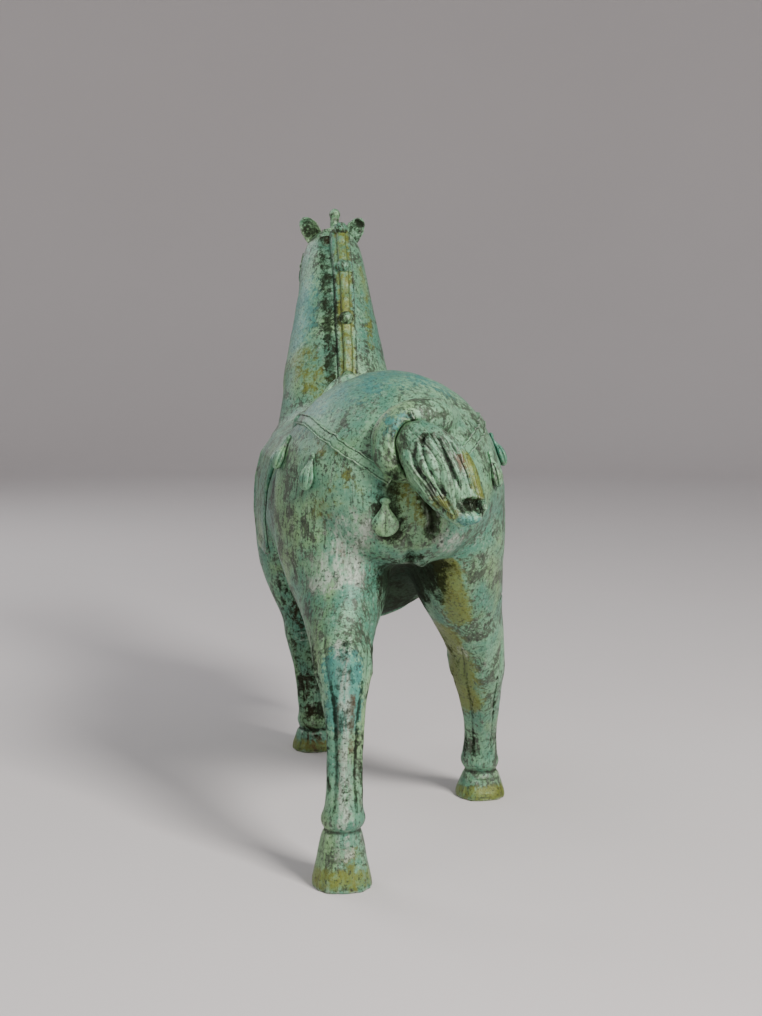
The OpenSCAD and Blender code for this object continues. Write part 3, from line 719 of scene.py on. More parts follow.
def tuft_skin():
    """The combed end of the tail: strands that sweep from its root to a blunt, worn end."""
    spine = smooth_path(row((3.5, -51, 226), (0, -57, 221.5), (-6, -62, 214), (-13, -65, 204),
                            (-20, -66, 194), (-26.5, -66, 185), (-29, -66, 181.5)), 24)
    spine = even_path(spine, 0.45)
    across_n = 240
    strands = 12

    def rings(t, angle):
        wide = np.interp(t, (0, 0.03, 0.10, 0.22, 0.42, 0.62, 0.80, 0.93, 0.97, 1),
                         (0.6, 5.5, 9.6, 13.2, 16.0, 15.6, 12.6, 9.2, 8.4, 2.0))
        deep = np.interp(t, (0, 0.03, 0.10, 0.22, 0.42, 0.62, 0.80, 0.93, 0.97, 1),
                         (0.6, 5.0, 8.6, 11.6, 13.2, 12.8, 11.0, 8.8, 8.0, 1.6))
        # Strands twist a little as they run down, and they part and join
        turn = angle + 1.3 * t * t + 0.16 * np.sin(2 * angle + 5 * t) + 0.08 * np.sin(5 * angle - 7 * t)
        comb = np.abs(np.sin(strands * turn / 2)) ** 0.55
        small = np.abs(np.sin(strands * 2 * turn + 2 * np.sin(5 * t + angle))) ** 0.9
        strength = ease(t, 0.04, 0.16) * (1 - ease(t, 0.93, 0.975))
        reach = 1 - strength * (0.13 * (1 - comb) + 0.020 * (1 - small))
        # The root is a plain collar, and the end has a lip round a hollow face
        collar = 0.05 * np.exp(-((t - 0.105) / 0.02) ** 2)
        lip = 0.06 * np.exp(-((t - 0.945) / 0.02) ** 2)
        reach = reach * (1 + collar + lip)
        return wide * reach * np.cos(angle), deep * reach * np.sin(angle)

    skin = tube(spine, (0, 1, 0), rings, across_n)
    t = np.repeat(np.linspace(0, 1, len(spine)), across_n)
    return skin, t


tuft, tuft_t = tuft_skin()
tuft.raise_by(0.25 * lumps(tuft.points, 7))
end_face = ease(tuft_t, 0.955, 0.985)
END_WAY = unit(at(-29, -66, 181.5) - at(-20, -66, 194))     # the way the tuft points at its end
END_SUNK = 1.6
sunk = END_SUNK * end_face * (0.7 + 0.5 * lumps(tuft.points, 2.5))
tuft.points -= END_WAY * sunk[:, None]
# The end face is darkened: painted shade under the tail's end.
tuft.stains_and_light["dark"] = 0.7 * end_face
tuft_tree = tuft.tree()


def on_tuft(*places):
    """A path over the side of the tuft that faces back."""
    path = smooth_path(row(*[(left, -60, up) for left, up in places]))
    found = [hit(tuft_tree, p + (0, 60, 0), p)[0] for p in path]
    return np.array([p for p in found if p is not None])


# The worn end is hollow, with a lip under it
stroke(tuft, on_tuft((-21, 190), (-26, 190.5), (-31, 188.5)), 3.2, -3.4, taper=0)
stroke(tuft, on_tuft((-17, 184), (-24, 183.5), (-30, 183.5)), 3.0, 2.0, taper=0)
stroke(tuft, on_tuft((-19, 193.5), (-25, 194.5), (-31, 192.5)), 1.2, 0.9, taper=0)
for places, width, depth in ((((2, 222), (3, 212), (-3, 202), (-13, 190)), 1.2, 1.5),
                             (((-2, 226), (-1, 214), (-7, 202), (-14, 193)), 1.1, 1.7),
                             (((-8, 226), (-11, 216), (-15, 206), (-19, 197)), 1.2, 1.7),
                             (((-14, 222), (-20, 212), (-23, 204), (-25, 197)), 1.0, 1.5),
                             (((4, 206), (-3, 197), (-11, 188), (-18, 183)), 1.1, 1.4)):
    stroke(tuft, on_tuft(*places), width, -depth, taper=0.15)
tuft.refresh()
# The hollow at the worn end is darkened: painted shade.
stain_and_light(tuft, "dark", on_tuft((-22, 190), (-26, 190.5), (-30, 189)), 4.2, 1.1)
stain_and_light(tuft, "ochre", on_tuft((-24, 212), (-27, 204), (-29, 197)), 7.5, 1.0)
stain_and_light(tuft, "ochre", on_tuft((-9, 192), (-15, 186)), 5, 0.8)
stain_and_light(tuft, "rust", on_tuft((-19, 214), (-20, 208)), 3, 0.8)
stain_and_light(tuft, "teal", on_tuft((-20, 183), (-28, 183)), 4, 0.8)
stain_and_light(tuft, "dark", on_tuft((2, 222), (-4, 224), (-8, 221)), 3, 0.6)

# ------------------------------------------------------------------ the mane and forelock

crest_line = smooth_path(row((-2, 184, 217), (-2, 188, 236), (-3, 196, 258), (-3.5, 209, 284),
                             (-4.5, 222, 308), (-4.5, 234, 328), (-5, 243, 339), (-5, 249, 344)), 16)
KNOB_SHARES = (0.20, 0.41, 0.62, 0.86)
MANE_HALF_W = 7.0
MANE_STAND = 8.6


def mane_skin():
    """The clipped mane: a ridge with hair combed down its sides and a flat, padded top."""
    spine = even_path(crest_line, 0.5)
    n = 96

    def rings(t, angle):
        ends = ease(t, 0, 0.07) * (1 - ease(t, 0.95, 1))
        c, s = np.cos(angle), np.sin(angle)
        wide = MANE_HALF_W * np.sign(c) * np.abs(c) ** 0.55
        high = np.where(s > 0, MANE_STAND, 9.0) * np.sign(s) * np.abs(s) ** 0.55
        top = ease(s, 0.55, 0.85)
        # The top is padded between the knobs, narrower than the ridge, with a step down to its sides
        pad = sum(np.exp(-((t - k) / 0.028) ** 2) for k in KNOB_SHARES)
        wide = wide * (1 - 0.42 * top)
        high = high * (0.82 + 0.18 * ease(s, 0.80, 0.93)) * (1 - 0.12 * pad * top)
        flank = (1 - ease(np.abs(s), 0.55, 0.75)) * (s > -0.6)
        hair = np.abs(np.sin(150 * t * math.pi + 5.5 * s)) ** 0.7
        wide = wide - np.sign(c) * 0.65 * flank * (1 - hair)
        return wide * (0.35 + 0.65 * ends), high * (0.25 + 0.75 * ends)

    skin = tube(spine, (0, 1, 0.4), rings, n)
    t = np.repeat(np.linspace(0, 1, len(spine)), n)
    s = np.sin(np.tile(np.linspace(0, 2 * math.pi, n, endpoint=False), len(spine)))
    return skin, t, s


mane, mane_t, mane_s = mane_skin()
mane.raise_by(0.18 * lumps(mane.points, 4))
mane.stains_and_light["ochre"] = 0.95 * ease(mane_s, 0.5, 0.8) * ease(mane_t, 0.04, 0.2)
# The mane's sides are darkened with painted shade; its top is ochre.
mane.stains_and_light["dark"] = 0.9 * (1 - ease(np.abs(mane_s), 0.5, 0.8)) * (1 - 0.5 * ease(mane_t, 0.6, 0.9))
mane.stains_and_light["rust"] = 0.8 * (1 - ease(mane_t, 0.05, 0.2)) * ease(mane_s, 0.0, 0.4)
mane_tree = mane.tree()


def mane_knobs():
    knobs = []
    for share in KNOB_SHARES:
        i = int(round(share * (len(crest_line) - 1)))
        along = unit(crest_line[i + 1] - crest_line[i - 1])
        out = unit(np.cross(np.cross(along, (0, 1, 0.4)), along))
        seat, _ = hit(mane_tree, crest_line[i] + out * 20, crest_line[i])
        knob = dome(mane_tree, seat, 4.7, 3.5, rim=0.12)
        knob.raise_by(0.12 * lumps(knob.points, 2.5))
        knobs.append(knob)
    return joined(knobs)


knobs = mane_knobs()
knobs.stains_and_light["dark"] += 0.45


def lock(foot, head, radius, knob):
    """A bound lock of hair: a stalk with wrapped turns and a round knob at its end."""
    middle = (np.array(foot) + head) / 2 + (0.4, 0.6, 0)
    path = even_path(smooth_path(row(foot, middle, head), 10), 0.35)

    def rings(t, angle):
        stalk = radius * (1.15 - 0.25 * ease(t, 0, 0.6)) * (1 + 0.05 * np.abs(np.sin(26 * t)))
        ball = knob * np.sqrt(np.clip(1 - ((t - 0.87) / 0.13) ** 2, 0.003, 1))
        reach = np.where(t < 0.80, stalk, np.maximum(ball, stalk * (t < 0.93)))
        reach = np.where(t > 0.87, ball, reach) * (1 - 0.05 * np.abs(np.sin(3 * angle)))
        return reach * np.cos(angle), reach * np.sin(angle)

    return tube(path, (0, 1, 0), rings, 40)


forelock = joined([lock((-5.5, 266, 330), (-5.5, 268, 360.4), 3.3, 3.9),
                   lock((-10, 266, 330), (-10, 268, 351.4), 3.0, 3.5)])
forelock.raise_by(0.10 * lumps(forelock.points, 3))
stain_and_light(forelock, "dark", at(-5.5, 268, 358), 4, 0.7)
stain_and_light(forelock, "dark", at(-10, 268, 350), 3, 0.5)


def ear(side):
    """A leaf-shaped ear that leans outward, hollow behind."""
    spine = row((HEAD_LEFT + side * 9, 262, 330), (HEAD_LEFT + side * 11.0, 262, 337),
                (HEAD_LEFT + side * 14.4, 262, 344), (HEAD_LEFT + side * 18.2, 263, 350),
                (HEAD_LEFT + side * 20.4, 263, 353.8))
    path = even_path(smooth_path(spine, 10), 0.4)
    opens = unit((side * 0.30, 0.90, 0.1))

    def rings(t, angle):
        wide = np.interp(t, (0, 0.2, 0.45, 0.7, 0.88, 0.96, 1), (3.6, 5.0, 6.4, 6.4, 4.6, 2.9, 0.25))
        deep = np.interp(t, (0, 0.2, 0.45, 0.7, 0.88, 0.96, 1), (3.6, 4.4, 4.6, 3.8, 2.6, 1.8, 0.25))
        c, s = np.cos(angle), np.sin(angle)
        hollow = ease(t, 0.10, 0.32) * (1 - ease(t, 0.86, 0.99)) * ease(s, 0.15, 0.75)
        high = deep * s * (1 - 1.45 * hollow) + 0.35 * deep * hollow
        return wide * np.sign(c) * np.abs(c) ** 0.85, high * np.where(s < 0, 0.8, 1)

    skin = tube(path, opens, rings, 64)
    t = np.repeat(np.linspace(0, 1, len(path)), 64)
    s = np.sin(np.tile(np.linspace(0, 2 * math.pi, 64, endpoint=False), len(path)))
    # The hollow is darkened: painted shade.
    skin.stains_and_light["dark"] = 0.8 * ease(s, 0.5, 0.95) * ease(t, 0.1, 0.3) * (1 - ease(t, 0.85, 1))
    return skin


ears = {"ear_left": ear(1), "ear_right": ear(-1)}

# ------------------------------------------------------------------ the harness

def over_body(*places):
    return pinned(body_tree, smooth_path(row(*places)), 1.0)


STRAP_W = 6.4
STRAP_T = 1.3
straps = {}
for side, name in ((1, "left"), (-1, "right")):
    straps["crupper_strap_" + name] = band(
        over_body((side * 10, -44, 201), (side * 24, -30, 210), (side * 38, -6, 222), (side * 50, 18, 229)),
        STRAP_W, STRAP_T, body_tree)
    straps["hip_strap_" + name] = band(
        over_body((side * 49, 15, 229), (side * 51, 40, 223), (side * 46, 60, 219), (side * 44, 80, 214)),
        STRAP_W * 0.85, STRAP_T * 0.9, body_tree)


def loop_path(centre, axis, start, end, tree, reach=90, n=90, zero=(0, 0, 1)):
    """A path round the body from outside: angle 0 is towards zero, and it turns about the axis."""
    axis = unit(axis)
    u = unit(np.asarray(zero, float) - axis * np.dot(zero, axis))
    v = np.cross(axis, u)
    path = []
    for a in np.radians(np.linspace(start, end, n)):
        outward = u * math.cos(a) + v * math.sin(a)
        place, _ = hit(tree, centre + outward * reach, centre)
        if place is not None:
            path.append(place)
    return np.array(path)


BREAST_Z = 186
straps["breast_strap"] = band(
    loop_path(at(0, 190, BREAST_Z), (0, 0, 1), -118, 118, body_tree, reach=110, n=120, zero=(0, -1, 0)),
    7.0, STRAP_T, body_tree)
GIRTH_AHEAD = 103
straps["girth_strap"] = band(
    loop_path(at(0, GIRTH_AHEAD, 165), (0, 1, 0), -125, 125, body_tree, reach=110, n=120, zero=(0, 0, -1)),
    10.0, STRAP_T, body_tree)

DROP_L = 19.5
drops = {}
for node in ("hip_pendants_left", "hip_pendants_right", "breast_pendants", "dock_pendant"):
    width = 1.45 if node == "dock_pendant" else 1.0
    pieces = [drop(body_tree, p, DROP_L, width=width) for p in node_islands(node)]
    # A faint painted highlight over each drop
    for p in pieces:
        p.stains_and_light["pale"] += 0.25
    drops[node] = joined(pieces)

bosses = joined([dome(body_tree, p, 4.6, 2.6, rim=0.3, petals=0) for p in node_islands("strap_bosses")])


def face_ring(left, ahead, up, lean, start=0, end=360):
    """A path round the head in a plane that leans lean degrees from level."""
    a = math.radians(lean)
    return loop_path(at(HEAD_LEFT + left, ahead, up), (0, -math.sin(a), math.cos(a)), start, end, body_tree,
                     reach=60, n=70, zero=(0, -1, 0))


def headstall_skin():
    bands = [band(face_ring(0, 288, 277, 62, 0, 358), 4.2, 1.1, body_tree),
             band(face_ring(0, 268, 322, 62, -112, 112), 4.2, 1.1, body_tree)]
    for side in (1, -1):
        cheek = on_face((side * 18, 266, 322), (side * 18, 273, 306), (side * 16, 281, 290),
                        (side * 13, 288, 277))
        bands.append(band(cheek, 4.0, 1.1, body_tree))
    return joined(bands)


headstall = headstall_skin()
rosettes = joined([dome(body_tree, p, 3.4, 2.4, rim=0.2, petals=6) for p in node_islands("bridle_rosettes")])


def cheekpiece(side):
    """A slim curved bar beside the mouth, with a knob at each end."""
    points = row((HEAD_LEFT + side * 14, 281.5, 262), (HEAD_LEFT + side * 14.8, 288, 264),
                 (HEAD_LEFT + side * 14.8, 295, 262), (HEAD_LEFT + side * 14.2, 299, 258))
    seats = [on_skin(body_tree, p) for p in smooth_path(points, 2)]
    path = even_path(smooth_path([p + normal * 0.6 for p, normal in seats], 10), 0.3)

    def rings(t, angle):
        reach = 1.1 + 0.55 * np.exp(-((t - 0.5) / 0.14) ** 2)
        reach = reach + 0.5 * np.exp(-((t - 0.06) / 0.05) ** 2) + 0.5 * np.exp(-((t - 0.94) / 0.05) ** 2)
        reach = reach * np.sqrt(np.clip(ease(np.minimum(t, 1 - t), -0.002, 0.03), 0.02, 1))
        return reach * np.cos(angle), reach * np.sin(angle)

    return tube(path, (side, 0, 0), rings, 24)


bit = joined([cheekpiece(1), cheekpiece(-1)])

# ------------------------------------------------------------------ the saddle

saddle_parts = {}
for node, soft in (("saddle_pad", 0.9), ("saddle_seat", 0.9), ("saddle_pommel", 0.6), ("saddle_cantle", 0.6),
                   ("saddle_flap_left", 0.6), ("saddle_flap_right", 0.6)):
    saddle_parts[node] = cast_piece([node], fine_step * 1.1, soft)


def edge_line(skin, places, width, height):
    tree = skin.tree()
    stroke(skin, pinned(tree, smooth_path(row(*places)), 1.0), width, height, taper=0)


for side, name in ((1, "left"), (-1, "right")):
    flap = saddle_parts["saddle_flap_" + name]
    inset = 5
    rear, front, low_z, high_z = 80 + inset, 152 - inset, 145 + inset, 208
    corners = [(side * 60, rear, high_z), (side * 62, rear, 180), (side * 61.5, rear, low_z + 12),
               (side * 61, rear + 4, low_z + 3), (side * 61, rear + 14, low_z), (side * 61, 116, low_z),
               (side * 61, front - 14, low_z), (side * 61, front - 4, low_z + 3),
               (side * 61.5, front, low_z + 12),
               (side * 62, front, 180), (side * 60, front, high_z)]
    edge_line(flap, corners, 1.0, 0.55)
    inner = [(p[0], 116 + (p[1] - 116) * 0.90, 178 + (p[2] - 178) * 0.88) for p in corners]
    edge_line(flap, inner, 0.9, -0.6)
    # A few worn folds
    for k in range(4):
        a = 96 + 12 * k
        fold = [(side * 62, a, 204), (side * 62.5, a + 2, 184), (side * 61.5, a - 1, 164)]
        edge_line(flap, fold, 2.2, -0.25)

for part in saddle_parts.values():
    part.refresh()
    part.raise_by(0.22 * lumps(part.points, 9) + 0.07 * lumps(part.points, 3))

pad = saddle_parts["saddle_pad"]
for ahead in (84, 147):
    edge_line(pad, [(k * 6.5, ahead, 250 - 0.35 * abs(k) ** 2.2) for k in range(-7, 8)], 1.0, -0.6)

# ------------------------------------------------------------------ marks from weather and handling, with painted shade and highlights

# The marks on the body, painted shade and highlights among them: where, how wide in mm, and how strong
BODY_STAINS_AND_LIGHT = {
    # Minerals that have dried out of the soil
    "ochre": (
        (leg_path(HIND_LEFT, 20, 6, -20), 6, 0.6),
        (over_body((30, -38, 196), (36, -30, 186)), 12, 0.5),
        (over_body((6, -46, 196), (-4, -46, 186), (-10, -44, 178)), 9, 0.7),
        (over_body((8, 196, 232), (14, 204, 240), (16, 212, 252)), 14, 0.75),
        (over_body((-14, 212, 262), (-12, 228, 290), (-12, 238, 315)), 4, 0.7),
        (over_body((40, -8, 212), (30, -30, 214)), 9, 0.45),
        (over_body((26, 150, 112), (20, 110, 106)), 14, 0.35),
    ),
    # Iron in the soil
    "rust": (
        (leg_path(HIND_LEFT, 78, 36, 22), 2.2, 0.6),
        (over_body((-1, 196, 240), (0, 190, 226)), 5, 0.9),
        (over_body((1, 250, 340), (2, 244, 330)), 4, 0.8),
        (leg_path(HIND_LEFT, 96, 70, -8), 2.5, 0.7),
        (leg_path(FRONT_LEFT, 16, 4, 0), 8, 0.5),
        (over_body((31, -36, 176), (34, -30, 164)), 8, 0.35),
        (leg_path(FRONT_LEFT, 100, 20, 20), 6, 0.5),
    ),
    # Painted shade: the belly, the crotch, under the tail, the far legs and the legs' inner sides are
    # darkened. Dark streaks also run down the back of the near hind leg.
    "dark": (
        (over_body((-9, -26, 148), (-16, -14, 140), (-24, 2, 132)), 6, 0.75),
        (leg_path(HIND_RIGHT, 136, 100, 78), 5, 0.7),
        (leg_path(HIND_LEFT, 100, 60, 20), 3.0, 0.5),
        (over_body((0, -10, 150), (-6, 40, 132), (-2, 70, 112), (0, 110, 104)), 29, 1.5),
        (over_body((0, 110, 104), (0, 160, 110)), 26, 1.2),
        (over_body((12, -48, 198), (12, -48, 186), (10, -47, 176)), 8, 0.95),
        (over_body((-8, -48, 192), (-11, -46, 182), (-10, -43, 174)), 6, 1.1),
        (over_body((-2, -38, 160), (-8, -30, 152), (-16, -20, 146)), 7, 0.9),
        (leg_path(HIND_LEFT, 126, 40, 4), 5, 0.5),
        (leg_path(FRONT_LEFT, 110, 20, 0), 14, 0.6),
        (leg_path(HIND_RIGHT, 130, 92, 60), 7, 0.5),
    ),
    # Painted highlights: pale, brushed patches where the light falls on the thighs and the hind legs
    "pale": (
        (over_body((24, -34, 178), (30, -26, 160), (32, -20, 146)), 15, 0.8),
        (leg_path(HIND_LEFT, 120, 34, 8), 4.0, 0.95),
        (leg_path(HIND_LEFT, 70, 20, 0), 6.0, 0.6),
        (over_body((-14, -42, 176), (-22, -36, 166)), 9, 0.6),
        (leg_path(HIND_RIGHT, 120, 96, 30), 4, 0.7),
    ),
    # Fresh, bright verdigris
    "teal": (
        (over_body((24, 214, 268), (20, 232, 300)), 12, 0.5),
        (over_body((40, 0, 238), (20, -6, 250), (0, -2, 252), (-20, 4, 250)), 22, 0.5),
        (leg_path(HIND_LEFT, 108, 88, 12), 13, 1.0),
        (over_body((20, 232, 300), (24, 220, 270)), 16, 0.7),
        (leg_path(HIND_RIGHT, 92, 78, 40), 6, 0.8),
    ),
}
for kind, places in BODY_STAINS_AND_LIGHT.items():
    for path, radius, strength in places:
        stain_and_light(body, kind, path, radius, strength)

# The hooves' edges and the right thigh's inner side are ochre
INNER = (1, 0.8, 0)     # the way the right thigh's inner side faces
for axis, up in ((HIND_LEFT, 6), (HIND_RIGHT, 3), (FRONT_LEFT, 3)):
    stain_and_light(body, "ochre", leg_ring(axis, up), 6.5, 1.05)
stain_and_light(body, "ochre", leg_path(HIND_RIGHT, 134, 66, 50), 13, 1.5, INNER)
stain_and_light(body, "ochre", over_body((-14, -28, 148), (-26, -14, 140), (-38, 10, 126)), 9, 1.3, INNER)
# The strip of neck at the mane's left foot is in shadow: it is darkened with painted shade.
mane_foot = over_body(*[(p[0] - middle_x + 11, croup_y - p[1] - 2, p[2] - 2) for p in crest_line[4:-8]])
stain_and_light(body, "dark", mane_foot, 5, 0.85)
# The grooves beside the tendons
for angle in (33, -27):
    stain_and_light(body, "dark", leg_path(HIND_LEFT, 102, 40, angle), 1.7, 0.85)
    stain_and_light(body, "dark", leg_path(HIND_RIGHT, 80, 28, angle), 1.4, 0.7)
# Painted shade on both sides of the legs
for angle in (78, -72):
    stain_and_light(body, "dark", leg_path(HIND_LEFT, 118, 36, angle), 4.5, 0.62)
    stain_and_light(body, "dark", leg_path(HIND_RIGHT, 96, 26, angle), 3.5, 0.5)
# The coil's lower left is darkened with painted shade under the bulb; the ochre and teal are stains.
stain_and_light(coil, "dark", at(10, -60, 203), 6, 0.9)
stain_and_light(coil, "ochre", at(-2, -60, 205), 6, 0.7)
stain_and_light(coil, "teal", at(12, -60, 232), 12, 0.32)

# ------------------------------------------------------------------ finished pieces


def object_from(name, points, faces, normals, stains_and_light, material, replaces):
    """A Blender mesh of a finished piece, which rides on the CAD part."""
    mesh = bpy.data.meshes.new(name)
    mesh.from_pydata((points * MM).tolist(), [], faces)
    mesh.shade_smooth()
    if normals is not None:
        mesh.normals_split_custom_set_from_vertices(normals.tolist())
    for mask_name, values in stains_and_light.items():
        layer = mesh.attributes.new(mask_name, "FLOAT", "POINT")
        layer.data.foreach_set("value", values.astype(np.float32))
    mesh.materials.append(material)
    piece = bpy.data.objects.new(name, mesh)
    bpy.context.scene.collection.objects.link(piece)
    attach(piece, "root")
    if replaces:
        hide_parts(*replaces)
    return piece


def rims(quads):
    """The closed loops of points along the open edges of a mesh."""
    a = quads.ravel()
    b = np.roll(quads, -1, axis=1).ravel()
    there = set(zip(a.tolist(), b.tolist()))
    onward = {}
    for p, q in there:
        if (q, p) not in there:
            onward.setdefault(q, []).append(p)
    loops = []
    while onward:
        start = next(iter(onward))
        loop, p = [start], start
        while True:
            q = onward[p].pop()
            if not onward[p]:
                del onward[p]
            if q == start or q not in onward:
                break
            loop.append(q)
            p = q
        loops.append(loop)
    return loops


def build_castings(material):
    """Cuts the body's skin back into its castings, each closed where the next one meets it."""
    middles = body.points[body.quads].mean(axis=1)
    labels = field.look_up(owner, middles)
    for i, node in enumerate(CASTINGS):
        mine = body.quads[labels == i]
        used, index = np.unique(mine, return_inverse=True)
        quads = index.reshape(-1, 4)
        points, normals = body.points[used], body.normals[used]
        faces = quads.tolist()
        extra = []
        for loop in rims(quads):
            extra.append(points[loop].mean(axis=0))
            middle = len(points) + len(extra) - 1
            faces += [[p, q, middle] for p, q in zip(loop, loop[1:] + loop[:1])]
        n = len(extra)
        if n:
            points = np.vstack([points, extra])
            normals = np.vstack([normals, np.tile((0.0, 0.0, 1.0), (n, 1))])
        stains_and_light = {k: np.concatenate([v[used], np.zeros(n)]) for k, v in body.stains_and_light.items()}
        object_from(node.replace("_shell", "").replace("_casting", "") + "_bronze", points, faces, normals,
                    stains_and_light, material, [node])


def build(skin, name, material, replaces=()):
    skin.refresh()
    object_from(name, skin.points, skin.quads.tolist(), None, skin.stains_and_light, material, list(replaces))



# ------------------------------------------------------------------ patina


class Nodes:
    """Short ways to lay out a material's nodes."""

    def __init__(self, name):
        self.material = bpy.data.materials.new(name)
        self.material.use_nodes = True
        self.tree = self.material.node_tree
        self.shader = self.tree.nodes["Principled BSDF"]

    def link(self, source, target):
        if isinstance(source, (int, float)):
            target.default_value = source
        elif isinstance(source, tuple):
            target.default_value = (*source, 1)
        else:
            self.tree.links.new(source, target)

    def noise(self, size_mm, detail=3.0, rough=0.55, stretch=(1, 1, 1), twist=0.0):
        """Noise from 0 to 1 with lumps about size_mm across."""
        place = self.tree.nodes.new("ShaderNodeTexCoord")
        mapping = self.tree.nodes.new("ShaderNodeMapping")
        mapping.inputs["Scale"].default_value = [s * 1000 / size_mm for s in stretch]
        node = self.tree.nodes.new("ShaderNodeTexNoise")
        node.inputs["Scale"].default_value = 1
        node.inputs["Detail"].default_value = detail
        node.inputs["Roughness"].default_value = rough
        node.inputs["Distortion"].default_value = twist
        self.link(place.outputs["Object"], mapping.inputs["Vector"])
        self.link(mapping.outputs["Vector"], node.inputs["Vector"])
        return node.outputs["Fac"]

    def span(self, value, low, high, bottom=0.0, top=1.0):
        node = self.tree.nodes.new("ShaderNodeMapRange")
        node.interpolation_type = "SMOOTHSTEP"
        self.link(value, node.inputs["Value"])
        for key, number in (("From Min", low), ("From Max", high), ("To Min", bottom), ("To Max", top)):
            node.inputs[key].default_value = number
        return node.outputs["Result"]

    def maths(self, kind, a, b):
        node = self.tree.nodes.new("ShaderNodeMath")
        node.operation = kind
        self.link(a, node.inputs[0])
        self.link(b, node.inputs[1])
        return node.outputs[0]

    def times(self, a, b):
        return self.maths("MULTIPLY", a, b)

    def plus(self, a, b):
        return self.maths("ADD", a, b)

    def stain_and_light(self, name):
        node = self.tree.nodes.new("ShaderNodeAttribute")
        node.attribute_name = name
        return node.outputs["Fac"]

    def mix(self, amount, below, above):
        node = self.tree.nodes.new("ShaderNodeMix")
        node.data_type = "RGBA"
        self.link(amount, node.inputs["Factor"])
        self.link(below, node.inputs[6])
        self.link(above, node.inputs[7])
        return node.outputs[2]


TEAL = (0.062, 0.215, 0.140)
VERDIGRIS = (0.205, 0.420, 0.235)
CHALK = (0.47, 0.56, 0.45)
BROWN = (0.030, 0.038, 0.022)
SOOT = (0.010, 0.013, 0.008)
DEEP_BROWN = (0.016, 0.021, 0.012)
OLIVE = (0.225, 0.345, 0.115)
OCHRE = (0.150, 0.178, 0.014)
RUST = (0.095, 0.036, 0.012)
BRIGHT_TEAL = (0.045, 0.250, 0.210)


